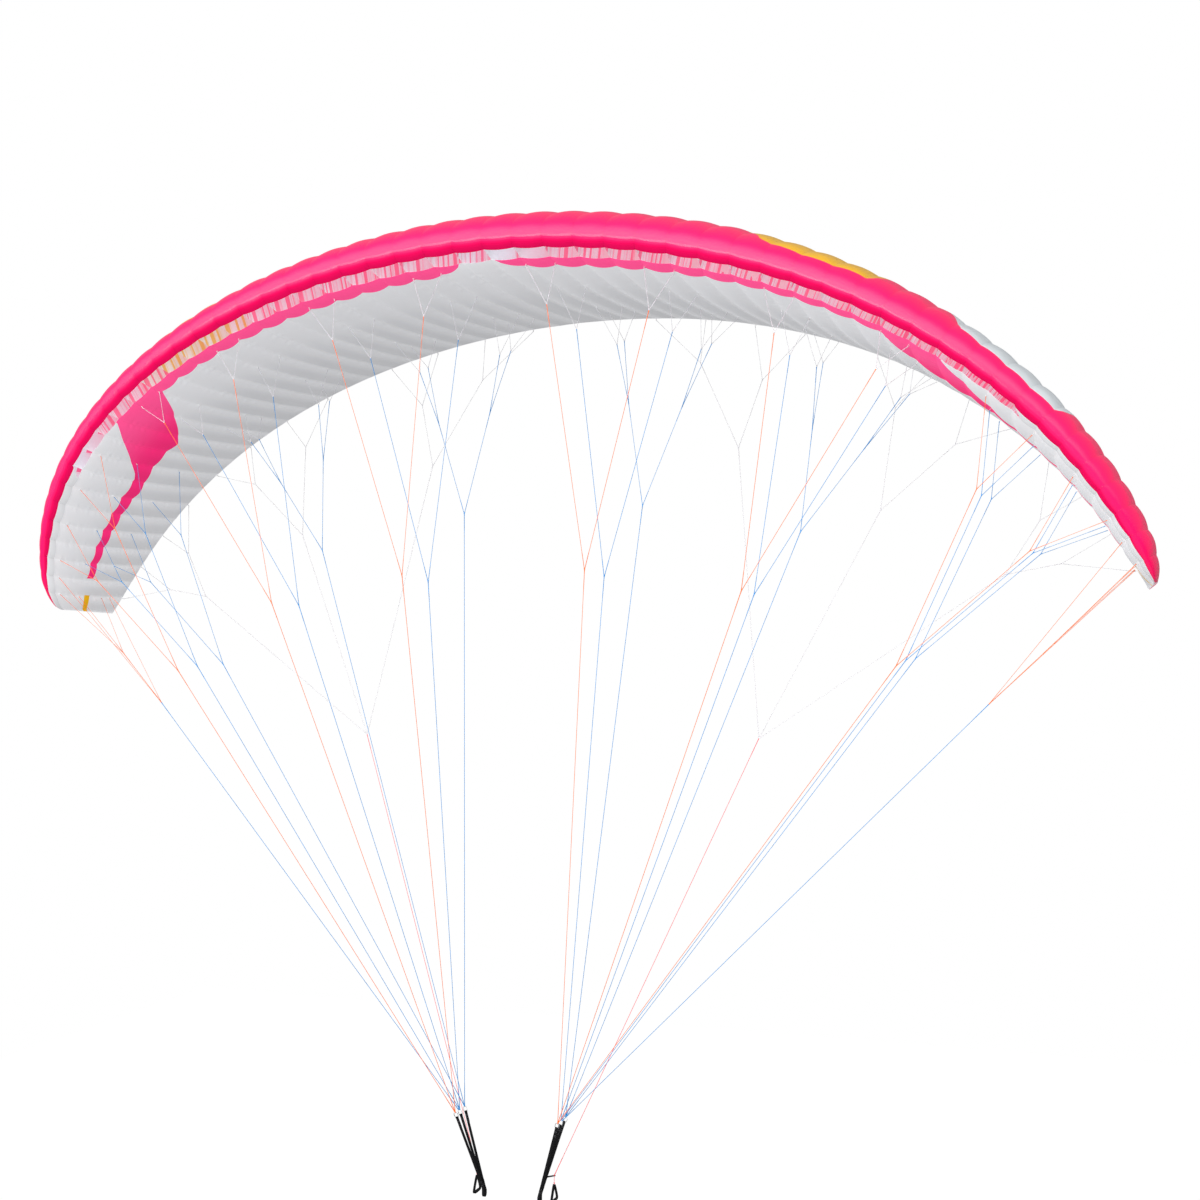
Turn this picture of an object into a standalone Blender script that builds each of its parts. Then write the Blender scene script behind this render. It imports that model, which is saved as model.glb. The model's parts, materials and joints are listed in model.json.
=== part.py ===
# Light three-row paraglider in flight: canopy with open cells, line rows, risers and brake toggles.
# Metres, +Z up, flying towards -Y, the pilot's left wing on +X. The origin lies midway between the
# two hang loops, on the faces that the pilot's carabiners bear on.
import math

import bmesh
import bpy
from mathutils import Matrix, Vector

for old in list(bpy.data.objects):
    bpy.data.objects.remove(old, do_unlink=True)

# Canopy planform, laid out flat
HALF_SPAN = 5.03
CHORD = 2.517
PLAN_REACH = 0.9492
PLAN_POWER = 1.755
CELLS_PER_SIDE = 26
CELL_WIDTH = 0.2125

# Canopy arc and sweep, of the line at REFERENCE of the chord
REFERENCE = 0.30
CROWN_HEIGHT = 6.397
ARC_LINEAR = 0.849
ARC_CUBIC = 0.333
SWEEP_START = -0.031
SWEEP_2 = -0.3115
SWEEP_4 = 0.848
PITCH_MIDDLE = -0.018
PITCH_TIP = 0.042

# Aerofoil, in chords
THICKNESS = 0.158
CAMBER = 0.022
CAMBER_AT = 0.3
TIP_TAPER_FROM = 0.94
TIP_THICKNESS = 0.22
# The tip's front corner is rounded off, from this half cell on
TIP_CUT_FROM = 49.5
TIP_CUT = 0.16
NOSE_LIP = 0.027
INTAKE_LIP = 0.0736
# The upper skin starts under the nose, so its first stations are on the lower side
UNDER_NOSE_OPEN = -0.018
UNDER_NOSE_CLOSED = -0.032
UPPER_STATIONS = (-0.009, 0.0, 0.009, 0.035, 0.09, 0.18, 0.32, 0.50, 0.75, 1.0)
# Chord stations of the rows: A, B, C, D and the trailing edge
ROWS = {"A": 0.115, "B": 0.349, "C": 0.665, "D": 0.785, "TE": 1.0}
# How far a cell bulges between its seams, in cell widths: full from a little behind the nose
PUFF_UPPER = 0.07
PUFF_LOWER = 0.05
PUFF_AT_NOSE = 0.4
PUFF_GROWTH = 0.12
OUTER_CELL_SHARE = 0.85

# Cloth and clearances
SKIN = 0.002
SKIN_FULL_AT = 0.06
GAP = 0.0003
CLOSED_GAP = 0.0022
RIB_THICKNESS = 0.002
RIB_END = 0.97
STEEPEST_SLANT = 0.8
TAPE_WIDTH = 0.020
TAPE_LIFT = 0.012
TAPE_CHORDS = (0.22, 0.55)

# Faces that meet at a smaller angle than this are shaded as one round surface
ROUND_ANGLE = math.radians(32)

# Seams are counted from the middle in half cells, so seams are odd and cell crests even
CENTRE_END = 17
MIDDLE_END = 35
INTAKE_END = 37
TIP_END = 2 * CELLS_PER_SIDE + 1

# Lines, half widths of their square sections
MAIN_HALF = 0.0010
UPPER_HALF = 0.0006
TOP_HALF = 0.0004

# Risers
LOOP_X = 0.2025
LOOP_HEIGHT = 0.052
LOOP_DEPTH = 0.040
LOOP_WALL = 0.004
LOOP_CORNER = 0.008
WEBBING_WIDTH = 0.020
WEBBING = 0.0022
LINK_TOP = Vector((0.363, 0.0, 0.540))
RISERS = {"a": (-0.008, -0.098), "b": (0.0, -0.034), "c": (0.008, 0.045)}  # y at loop, y at link
EYE_OUTER = 0.0046
EYE_HOLE = 0.0024
LINK_WIRE = 0.0018
LINK_WIDTH = 0.0125
LINK_HEIGHT = 0.030

# Brake guide and toggle
GUIDE = Vector((0.284, 0.060, 0.170))
GUIDE_RADIUS = 0.0075
GUIDE_WIRE = 0.0028
GUIDE_TAB = 0.010
TOGGLE_TOP = 0.115
TOGGLE_DEPTH = 0.018
TOGGLE_CORNER = 0.008
# Of the toggle and of its hand hole: half width, heights of floor, shoulder and peak, half width at the peak
TOGGLE_OUTLINES = ((0.0525, 0.0, 0.022, TOGGLE_TOP, 0.007), (0.0465, 0.018, 0.030, 0.1018, 0.002))

# The outermost brake line runs outwards and slightly down, so the ends of it stand upright.
UPRIGHT = ("k3o", (26, "TE"))
# One side's lines. Each fork lies on the straight way from the fork below to the middle of all the places
# that it carries.
# fork: share of that way, then what it carries: forks, or (seam, row) places on the canopy
FANS = {
    "a": (0.0, "a1", "a2", "a3"),
    "a1": (0.650, "a1i", "a1o"), "a2": (0.675, "a2i", "a2o"), "a3": (0.705, "a3i", "a3o"),
    "a1i": (0.865, (2, "A"), (3, "A")), "a1o": (0.862, (6, "A"), (7, "A")),
    "a2i": (0.864, (10, "A"), (11, "A")), "a2o": (0.880, (14, "A"), (15, "A")),
    "a3i": (0.708, (18, "A"), (20, "A")), "a3o": (0.686, (22, "A"), (24, "A")),
    "b": (0.0, "b1", "b2", "b3"),
    "b1": (0.647, "b1i", "b1o"), "b2": (0.675, "b2i", "b2o"), "b3": (0.715, "b3i", "b3o"),
    "b1i": (0.851, (2, "B"), (3, "B")), "b1o": (0.859, (6, "B"), (7, "B")),
    "b2i": (0.852, (10, "B"), (11, "B")), "b2o": (0.876, (14, "B"), (15, "B")),
    "b3i": (0.707, (18, "B"), (20, "B")), "b3o": (0.691, (22, "B"), (24, "B")),
    "c": (0.0, "c1", "c2", "c3"),
    "c1": (0.738, "c1i", "c1o"), "c2": (0.758, "c2i", "c2o"), "c3": (0.716, "c3i", "c3o"),
    "c1i": (0.507, "c1ic", "c1id"), "c1o": (0.508, "c1oc", "c1od"),
    "c2i": (0.510, "c2ic", "c2id"), "c2o": (0.521, "c2oc", "c2od"),
    "c1ic": (0.603, (2, "C"), (3, "C")), "c1id": (0.670, (2, "D"), (3, "D")),
    "c1oc": (0.601, (6, "C"), (7, "C")), "c1od": (0.686, (6, "D"), (7, "D")),
    "c2ic": (0.637, (10, "C"), (11, "C")), "c2id": (0.708, (10, "D"), (11, "D")),
    "c2oc": (0.657, (14, "C"), (15, "C")), "c2od": (0.736, (14, "D"), (15, "D")),
    "c3i": (0.716, (18, "C"), (20, "C")), "c3o": (0.704, (22, "C"), (24, "C")),
    "tip": (0.0, "t"),
    "t": (0.755, (25, "A"), "t1", (26, "D")), "t1": (0.453, (26, "A"), (26, "B"), (26, "C")),
    "brake": (0.0, "k"), "k": (0.547, "k1", "k2", "k3"),
    "k1": (0.678, "k1i", "k1o"), "k2": (0.645, "k2i", "k2o"), "k3": (0.736, "k3i", "k3o"),
    "k1i": (0.651, (3, "TE"), (5, "TE")), "k1o": (0.567, (7, "TE"), (9, "TE")),
    "k2i": (0.696, (12, "TE"), (14, "TE")), "k2o": (0.678, (16, "TE"), (18, "TE")),
    "k3i": (0.552, (20, "TE"), (22, "TE")), "k3o": (0.470, (24, "TE"), (26, "TE")),
}

# name: colour, roughness, metallic
FINISHES = {
    "pink_cloth": ((1.0, 0.06, 0.24), 0.55, 0.0),
    "grey_cloth": ((0.63, 0.66, 0.68), 0.6, 0.0),
    "white_cloth": ((0.85, 0.85, 0.85), 0.6, 0.0),
    "orange_line": ((0.95, 0.28, 0.10), 0.6, 0.0),
    "blue_line": ((0.10, 0.35, 0.70), 0.6, 0.0),
    "pale_line": ((0.70, 0.70, 0.72), 0.6, 0.0),
    "black_webbing": ((0.012, 0.012, 0.014), 0.7, 0.0),
    "steel": ((0.62, 0.63, 0.65), 0.3, 1.0),
    "dark_ring": ((0.05, 0.05, 0.06), 0.35, 1.0),
    "toggle_webbing": ((0.02, 0.02, 0.025), 0.75, 0.0),
}


paraglider = bpy.data.collections.new("paraglider")
bpy.context.scene.collection.children.link(paraglider)


def material(name):
    """Returns the named finish, made once."""
    if name in bpy.data.materials:
        return bpy.data.materials[name]
    colour, roughness, metallic = FINISHES[name]
    made = bpy.data.materials.new(name)
    made.use_nodes = True
    shader = made.node_tree.nodes["Principled BSDF"]
    shader.inputs["Base Color"].default_value = (*colour, 1.0)
    shader.inputs["Roughness"].default_value = roughness
    shader.inputs["Metallic"].default_value = metallic
    return made


def add_object(name, bm, finish, origin=Vector()):
    """Turns a bmesh into a named object with its finish, smooth where it is round."""
    bmesh.ops.translate(bm, vec=-origin, verts=bm.verts)
    mesh = bpy.data.meshes.new(name)
    bm.to_mesh(mesh)
    bm.free()
    mesh.shade_smooth()
    mesh.set_sharp_from_angle(angle=ROUND_ANGLE)
    made = bpy.data.objects.new(name, mesh)
    made.location = origin
    paraglider.objects.link(made)
    mesh.materials.append(material(finish))
    return made


def side_name(side):
    return "left" if side > 0 else "right"


def mirrored(place):
    """The same place on the other wing."""
    return Vector((-place.x, place.y, place.z))


# Canopy surface

def span_at(half_cell):
    """Flat distance from the middle to a seam or crest, in cells that narrow towards the tips."""
    even = CELL_WIDTH * TIP_END / 2
    narrowing = 1 - (1 - HALF_SPAN / even) * (half_cell / TIP_END) ** 2
    return CELL_WIDTH * half_cell / 2 * narrowing


def seam_of(number):
    """Half-cell count of a seam, numbered from 1 beside the middle cell."""
    return 2 * number - 1


def arc_at(distance, steps=24):
    """Sideways place, height and slope of the arc at a flat distance from the middle."""
    x, drop = 0.0, 0.0
    for step in range(steps):
        t = distance / HALF_SPAN * (step + 0.5) / steps
        slope = ARC_LINEAR * t + ARC_CUBIC * t ** 3
        x += math.cos(slope) * distance / steps
        drop += math.sin(slope) * distance / steps
    t = distance / HALF_SPAN
    return x, CROWN_HEIGHT - drop, ARC_LINEAR * t + ARC_CUBIC * t ** 3


def chord_at(distance):
    return CHORD * math.sqrt(1 - (PLAN_REACH * distance / HALF_SPAN) ** PLAN_POWER)


def tip_cut(half_cell):
    """Share of the chord that the tip's rounded front corner takes away."""
    share = max(0.0, (abs(half_cell) - TIP_CUT_FROM) / (TIP_END - TIP_CUT_FROM))
    return TIP_CUT * (1 - math.sqrt(1 - share ** 2))


def axes_at(half_cell):
    """Origin, chord direction, up direction and chord of the aerofoil at a seam or crest."""
    side = -1 if half_cell < 0 else 1
    distance = span_at(abs(half_cell))
    x, z, slope = arc_at(distance)
    t = distance / HALF_SPAN
    normal = Vector((side * math.sin(slope), 0, math.cos(slope)))
    pitch = PITCH_MIDDLE + PITCH_TIP * t * t
    back = Vector((0, math.cos(pitch), 0)) - normal * math.sin(pitch)
    up = normal * math.cos(pitch) + Vector((0, math.sin(pitch), 0))
    origin = Vector((side * x, SWEEP_START + SWEEP_2 * t ** 2 + SWEEP_4 * t ** 4, z))
    chord, cut = chord_at(distance), tip_cut(half_cell)
    return origin + back * (1 - REFERENCE) * chord * cut, back, up, chord * (1 - cut)


def thickness_at(half_cell):
    """Share of the full thickness, which closes towards the tip."""
    t = span_at(abs(half_cell)) / HALF_SPAN
    closing = max(0.0, (t - TIP_TAPER_FROM) / (1 - TIP_TAPER_FROM))
    return max(TIP_THICKNESS, math.sqrt(max(0.0, 1 - closing ** 2)))


def foil(x, side, share):
    """Aerofoil height in chords, on the upper side (1) or the lower side (-1)."""
    rise = x / CAMBER_AT if x < CAMBER_AT else (1 - x) / (1 - CAMBER_AT)
    camber = CAMBER * rise * (2 - rise)
    root = 0.2969 * math.sqrt(x) - 0.126 * x - 0.3516 * x ** 2 + 0.2843 * x ** 3 - 0.1036 * x ** 4
    return camber + side * 5 * THICKNESS * share * root


def skin_height(station, lower, half_cell, chord):
    """Height in metres of the outer skin over the chord line at a station."""
    x = abs(station)
    side = -1 if lower or station < 0 else 1
    height = chord * foil(x, side, thickness_at(half_cell))
    height += side * (SKIN + GAP / 2) * min(1.0, x / SKIN_FULL_AT)
    if half_cell % 2 == 0:
        width = CELL_WIDTH if abs(half_cell) < CENTRE_END else CELL_WIDTH * OUTER_CELL_SHARE
        bulge = (PUFF_LOWER if lower else PUFF_UPPER) * width * thickness_at(half_cell)
        height += side * bulge * (1 - x ** 3) * min(1.0, PUFF_AT_NOSE + x / PUFF_GROWTH)
    return height


def canopy_point(half_cell, station, lower):
    """A point of the outer skin; a negative station lies under the nose."""
    origin, back, up, chord = axes_at(half_cell)
    return (origin + back * (abs(station) - REFERENCE) * chord
            + up * skin_height(station, lower, half_cell, chord))


def stations_at(half_cell, lower):
    """Chord stations of a skin. The upper one reaches round the nose, further where a cell is closed."""
    if lower:
        return (INTAKE_LIP,) + tuple(ROWS.values())
    if abs(half_cell) <= INTAKE_END:
        return (-NOSE_LIP, UNDER_NOSE_OPEN) + UPPER_STATIONS
    return (CLOSED_GAP / axes_at(half_cell)[3] - INTAKE_LIP, UNDER_NOSE_CLOSED) + UPPER_STATIONS


def skin_panel(name, first, last, lower, finish):
    """A stretch of upper or lower skin between two seams, as a grid thickened inwards."""
    rows = len(stations_at(first, lower)) - 1
    columns = last - first
    bm = bmesh.new()
    bmesh.ops.create_grid(bm, x_segments=rows, y_segments=columns, size=1.0)
    for vert in bm.verts:
        half_cell = first + round((vert.co.y + 1) / 2 * columns)
        station = stations_at(half_cell, lower)[round((vert.co.x + 1) / 2 * rows)]
        place = canopy_point(half_cell, station, lower)
        if half_cell in (first, last):
            inward = canopy_point(half_cell + (1 if half_cell == first else -1), station, lower) - place
            place += inward.normalized() * GAP / 2
        vert.co = place
    bm.normal_update()
    middle = (first + last) // 2
    target = canopy_point(middle, 0.5, lower)
    outward = axes_at(middle)[2] * (-1 if lower else 1)
    nearest = min(bm.faces, key=lambda face: (face.calc_center_median() - target).length)
    if nearest.normal.dot(outward) < 0:
        bmesh.ops.reverse_faces(bm, faces=bm.faces)
    made = add_object(name, bm, finish)
    shell = made.modifiers.new("cloth", "SOLIDIFY")
    shell.thickness = SKIN
    shell.offset = -1
    shell.use_even_offset = True
    return made


# Ribs

def inset(path, depths, turn):
    """Moves a 2D path sideways by a depth at each point, to its right (1) or left (-1), with mitres."""
    normals = []
    for here, ahead in zip(path, path[1:]):
        run = ahead - here
        normals.append(Vector((run.y, -run.x)).normalized() * turn)
    moved = []
    for index, (place, depth) in enumerate(zip(path, depths)):
        before = normals[max(0, index - 1)]
        after = normals[min(len(normals) - 1, index)]
        moved.append(place + (before + after) * depth / (1 + before.dot(after)))
    return moved


def clearance(half_cell, stations, index, lower):
    """Depth below the outer skin, in a rib's plane, that clears the cloth where it slants along the span."""
    back, up = axes_at(half_cell)[1:3]
    here = canopy_point(half_cell, stations[index], lower)
    slants = [0.0]
    for step in (-1, 1):
        if not 0 <= index + step < len(stations):
            continue
        along = canopy_point(half_cell, stations[index + step], lower) - here
        for beside in (half_cell - 1, half_cell + 1):
            if abs(beside) <= TIP_END:
                normal = along.cross(canopy_point(beside, stations[index], lower) - here).normalized()
                slants.append(min(STEEPEST_SLANT, abs(normal.dot(back.cross(up)))))
    slant = max(slants)
    return (SKIN + GAP + slant * RIB_THICKNESS / 2) / math.sqrt(1 - slant ** 2)


def rib_outline(half_cell):
    """Outline of a rib in its own plane, in metres, clear of both skins and open at the intake."""
    chord = axes_at(half_cell)[3]
    sides = []
    for lower in (False, True):
        stations = stations_at(half_cell, lower)
        path = [Vector((abs(x) * chord, skin_height(x, lower, half_cell, chord))) for x in stations]
        depths = [clearance(half_cell, stations, index, lower) for index in range(len(stations))]
        path = inset(path, depths, -1 if lower else 1)
        share = (RIB_END * chord - path[-2].x) / (path[-1].x - path[-2].x)
        path[-1] = path[-2].lerp(path[-1], share)
        sides.append(path)
    return sides[0] + sides[1][::-1]


def in_canopy(half_cell, flat, sideways=0.0):
    """Places a rib's own 2D point in the canopy, shifted sideways along the span."""
    origin, back, up, chord = axes_at(half_cell)
    return origin + back * (flat.x - REFERENCE * chord) + up * flat.y + back.cross(up) * sideways


def add_rib(bm, half_cell, shift=0.0):
    """Adds one rib plate, centred on its seam or shifted along the span."""
    outline = rib_outline(half_cell)
    rings = []
    for sideways in (shift - RIB_THICKNESS / 2, shift + RIB_THICKNESS / 2):
        rings.append([bm.verts.new(in_canopy(half_cell, flat, sideways)) for flat in outline])
        bm.faces.new(rings[-1])
    for index in range(len(outline)):
        following = (index + 1) % len(outline)
        bm.faces.new((rings[0][index], rings[0][following], rings[1][following], rings[1][index]))


def add_tape(bm, seams, station):
    """Adds one span tape, a flat strip that runs through the ribs a little above the lower skin."""
    corners = []
    for half_cell in seams:
        chord = axes_at(half_cell)[3]
        level = skin_height(station, True, half_cell, chord) + SKIN + TAPE_LIFT
        ring = []
        for reach, rise in ((-1, 0), (1, 0), (1, 1), (-1, 1)):
            flat = Vector((station * chord + reach * TAPE_WIDTH / 2, level + rise * RIB_THICKNESS))
            ring.append(bm.verts.new(in_canopy(half_cell, flat)))
        corners.append(ring)
    for near, far in zip(corners, corners[1:]):
        for index in range(4):
            following = (index + 1) % 4
            bm.faces.new((near[index], near[following], far[following], far[index]))
    bm.faces.new(corners[0])
    bm.faces.new(corners[-1])


def rib_set(name, seams):
    """The ribs of one stretch of the canopy, held together by their span tapes."""
    ribs, tapes = bmesh.new(), bmesh.new()
    for half_cell in seams:
        end = half_cell if abs(half_cell) == TIP_END else 0
        outwards = (1 if half_cell > 0 else -1) * along_span()
        add_rib(ribs, half_cell, -outwards * (RIB_THICKNESS / 2 + GAP) if end else 0.0)
    for station in TAPE_CHORDS:
        add_tape(tapes, seams, station)
    for bm in (ribs, tapes):
        bmesh.ops.recalc_face_normals(bm, faces=bm.faces)
    return add_object(name, combine(ribs, tapes, "UNION"), "white_cloth")


def along_span():
    """Sign that turns a rib's sideways shift into a shift towards +X."""
    origin, back, up, chord = axes_at(1)
    return 1 if back.cross(up).x > 0 else -1


# Solids from bmeshes

def combine(first, second, operation):
    """Boolean of two bmeshes, returned as a bmesh."""
    base = add_object("base", first, "steel")
    tool = add_object("tool", second, "steel")
    cut = base.modifiers.new("combine", "BOOLEAN")
    cut.operation = operation
    cut.solver = "EXACT"
    cut.object = tool
    joined = bmesh.new()
    joined.from_object(base, bpy.context.evaluated_depsgraph_get())
    for used in (base, tool):
        bpy.data.objects.remove(used, do_unlink=True)
    return joined


def add_pair(name, bm, finish, origin=Vector()):
    """The left solid as given and the right one as its mirror image."""
    other = bm.copy()
    bmesh.ops.scale(other, vec=(-1, 1, 1), verts=other.verts)
    bmesh.ops.reverse_faces(other, faces=other.faces)
    add_object(name + "_left", bm, finish, origin)
    add_object(name + "_right", other, finish, mirrored(origin))


def box_between(bottom, top, width, depth, width_axis):
    """A strap from one point to another, its width along an axis."""
    along = (top - bottom).normalized()
    deep = along.cross(width_axis).normalized()
    bm = bmesh.new()
    bmesh.ops.create_cube(bm, size=1.0)
    frame = Matrix((width_axis * width, deep * depth, top - bottom)).transposed().to_4x4()
    frame.translation = (bottom + top) / 2
    bmesh.ops.transform(bm, matrix=frame, verts=bm.verts)
    bmesh.ops.recalc_face_normals(bm, faces=bm.faces)
    return bm


def rod_between(start, end, radius, sides=16):
    """A round bar from one point to another."""
    bm = bmesh.new()
    bmesh.ops.create_cone(bm, cap_ends=True, segments=sides, radius1=radius, radius2=radius,
                          depth=(end - start).length)
    turn = (end - start).to_track_quat("Z", "Y").to_matrix().to_4x4()
    turn.translation = (start + end) / 2
    bmesh.ops.transform(bm, matrix=turn, verts=bm.verts)
    return bm


# Lines

forks = {}


def canopy_place(number, row):
    """Where a line's top ends, just under the lower skin at a seam, clear by the usual gap."""
    half_cell = seam_of(number)
    origin, back, up, chord = axes_at(half_cell)
    away = -up
    spread = TOP_HALF * (abs(away.x) + abs(away.y))
    return canopy_point(half_cell, ROWS[row], True) + away * (GAP + spread)


def carried_places(branch):
    """All places on the canopy that a fork carries."""
    if not isinstance(branch, str):
        return [canopy_place(*branch)]
    return [place for further in FANS[branch][1:] for place in carried_places(further)]


def place_forks(branch, start):
    """Places every fork above the given one, which lies at start."""
    forks[branch] = start
    for further in FANS[branch][1:]:
        if isinstance(further, str):
            places = carried_places(further)
            middle = sum(places, Vector()) / len(places)
            place_forks(further, start.lerp(middle, FANS[further][0]))


def place_of(branch):
    return forks[branch] if isinstance(branch, str) else canopy_place(*branch)


def half_width_of(branch):
    """Lines thin out from the risers to the canopy."""
    if not isinstance(branch, str):
        return TOP_HALF
    return MAIN_HALF if len(branch) <= 2 else UPPER_HALF


def open_ring(bm, centre, half, branches, upright=False):
    """Two rails of corners around a line's end, split side by side for the lines that it carries."""
    count = max(1, len(branches))
    along_y = False
    if count > 1:
        spread = place_of(branches[-1]) - place_of(branches[0])
        along_y = abs(spread.y) > abs(spread.x)
    rails = []
    for side in (-1, 1):
        rail = []
        for step in range(count + 1):
            slide = half * (2 * step / count - 1)
            offset = Vector((side * half, slide, 0)) if along_y else Vector((slide, side * half, 0))
            if upright:
                offset = Vector((0, side * half, -slide))
            rail.append(bm.verts.new(centre + offset))
        rails.append(rail)
    low, high = rails
    if along_y:
        chains = ([low[0], high[0]], high, [high[-1], low[-1]], low[::-1])
        quads = [(low[i], high[i], high[i + 1], low[i + 1]) for i in range(count)]
    else:
        chains = (low, [low[-1], high[-1]], high[::-1], [high[0], low[0]])
        quads = [(low[i], low[i + 1], high[i + 1], high[i]) for i in range(count)]
    return rails, chains, quads


def grow_line(bm, quad, branch):
    """Runs a line from the open corners of a fork to the next fork or to the canopy."""
    carried = sorted_branches(branch)
    chains, quads = open_ring(bm, place_of(branch), half_width_of(branch), carried, branch in UPRIGHT)[1:]
    for index, chain in enumerate(chains):
        start, end = quad[index], quad[(index + 1) % 4]
        bm.faces.new((start, end, chain[-1]))
        for near, far in zip(chain, chain[1:]):
            bm.faces.new((start, far, near))
    if not carried:
        bm.faces.new(quads[0])
    for corners, further in zip(quads, carried):
        grow_line(bm, corners, further)


def sorted_branches(branch):
    """The lines that a fork carries, in order along the direction in which they spread."""
    carried = list(FANS[branch][1:]) if isinstance(branch, str) else []
    if len(carried) < 2:
        return carried
    places = [place_of(further) for further in carried]
    wide = max(p.x for p in places) - min(p.x for p in places)
    deep = max(p.y for p in places) - min(p.y for p in places)
    key = (lambda further: place_of(further).y) if deep > wide else (lambda further: place_of(further).x)
    return sorted(carried, key=key)


def line_tree(name, root, start, finish):
    """All lines of one row on one side, from their link or guide up to the canopy."""
    place_forks(root, start)
    bm = bmesh.new()
    carried = sorted_branches(root)
    (low, high), chains, quads = open_ring(bm, start, MAIN_HALF, carried)
    for index in range(len(low) - 1):
        bm.faces.new((low[0], high[index], high[index + 1]))
        bm.faces.new((high[-1], low[index + 1], low[index]))
    for corners, branch in zip(quads, carried):
        grow_line(bm, corners, branch)
    bmesh.ops.recalc_face_normals(bm, faces=bm.faces)
    add_pair(name, bm, finish)


# Risers

def riser_axes(row):
    """Foot, eye, length direction and width direction of one riser strap on the left."""
    y_loop, y_link = RISERS[row]
    foot = Vector((LOOP_X, y_loop, LOOP_HEIGHT - LOOP_WALL + GAP))
    eye = LINK_TOP + Vector((0, y_link, 0))
    along = (eye - foot).normalized()
    return foot, eye, along, Vector((along.z, 0, -along.x)).normalized()


def riser(row):
    """One webbing strap with the eye that its link passes through."""
    foot, eye, along, across = riser_axes(row)
    strap = box_between(foot, eye, WEBBING_WIDTH, WEBBING, across)
    for vert in strap.verts:
        if (vert.co - foot).dot(along) < (eye - foot).length / 2:
            vert.co += along * (foot.z - vert.co.z) / along.z
    half = across * WEBBING_WIDTH / 2
    strap = combine(strap, rod_between(eye - half, eye + half, EYE_OUTER), "UNION")
    strap = combine(strap, rod_between(eye - 2 * half, eye + 2 * half, EYE_HOLE), "DIFFERENCE")
    add_pair("riser_" + row, strap, "black_webbing")


def ring_curve(name, points, wire, finish):
    """A closed wire through the given points."""
    data = bpy.data.curves.new(name, "CURVE")
    data.dimensions = "3D"
    data.bevel_depth = wire
    data.bevel_resolution = 2
    data.render_resolution_u = 0
    spline = data.splines.new("POLY")
    spline.points.add(len(points) - 1)
    for point, place in zip(spline.points, points):
        point.co = (*place, 1.0)
    spline.use_cyclic_u = True
    made = bpy.data.objects.new(name, data)
    paraglider.objects.link(made)
    data.materials.append(material(finish))


def link(row, side):
    """The quick link that joins a riser's eye to its lines."""
    foot, eye, along, across = riser_axes(row)
    wide, tall = LINK_WIDTH, LINK_HEIGHT
    quarter = ((0.8, 0.0), (1.0, 0.07), (1.1, 0.2), (1.1, 0.8), (1.0, 0.93), (0.8, 1.0))
    flat = [(x * wide, y * tall) for x, y in quarter] + [(-x * wide, y * tall) for x, y in quarter[::-1]]
    places = [eye + across * x + along * y for x, y in flat]
    if side < 0:
        places = [mirrored(place) for place in places]
    ring_curve("link_" + row + "_" + side_name(side), places, LINK_WIRE, "steel")


def link_top(row, slide=0.0):
    """Start of the lines just above a link's top bar."""
    foot, eye, along, across = riser_axes(row)
    top = eye + along * (LINK_HEIGHT + LINK_WIRE) + across * slide
    return top + Vector((0, 0, GAP + MAIN_HALF * 0.5))


def flat_ring(name, x, outer, hole, half_depth, finish, origin=Vector()):
    """A ring of two like outlines in the YZ plane at x, with a thickness along X."""
    bm = bmesh.new()
    loops = []
    for side in (-1, 1):
        for outline in (outer, hole):
            loops.append([bm.verts.new((x + side * half_depth, y, z)) for y, z in outline])
    outside_low, hole_low, outside_high, hole_high = loops
    for near, far in ((outside_low, hole_low), (outside_high, hole_high),
                      (outside_low, outside_high), (hole_low, hole_high)):
        for index in range(len(near)):
            following = (index + 1) % len(near)
            bm.faces.new((near[index], near[following], far[following], far[index]))
    bmesh.ops.recalc_face_normals(bm, faces=bm.faces)
    add_object(name, bm, finish, origin)


def rounded(y_half, z_low, z_high, corner, steps=3):
    """Points of a rectangle with round corners, in y and z."""
    points = []
    for turn, (y, z) in enumerate(((1, -1), (1, 1), (-1, 1), (-1, -1))):
        centre_y = y * (y_half - corner)
        centre_z = z_high - corner if z > 0 else z_low + corner
        for step in range(steps + 1):
            angle = math.radians(-90 + 90 * turn + 90 * step / steps)
            points.append((centre_y + corner * math.cos(angle), centre_z + corner * math.sin(angle)))
    return points


def hang_loop(side):
    """The loop at the risers' foot that takes the pilot's carabiner."""
    outer = rounded(LOOP_DEPTH / 2, -LOOP_WALL, LOOP_HEIGHT - LOOP_WALL, LOOP_CORNER)
    hole = rounded(LOOP_DEPTH / 2 - LOOP_WALL, 0.0, LOOP_HEIGHT - 2 * LOOP_WALL, LOOP_CORNER - LOOP_WALL)
    flat_ring("hang_loop_" + side_name(side), side * LOOP_X, outer, hole, WEBBING_WIDTH / 2, "black_webbing")


# Brakes

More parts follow.
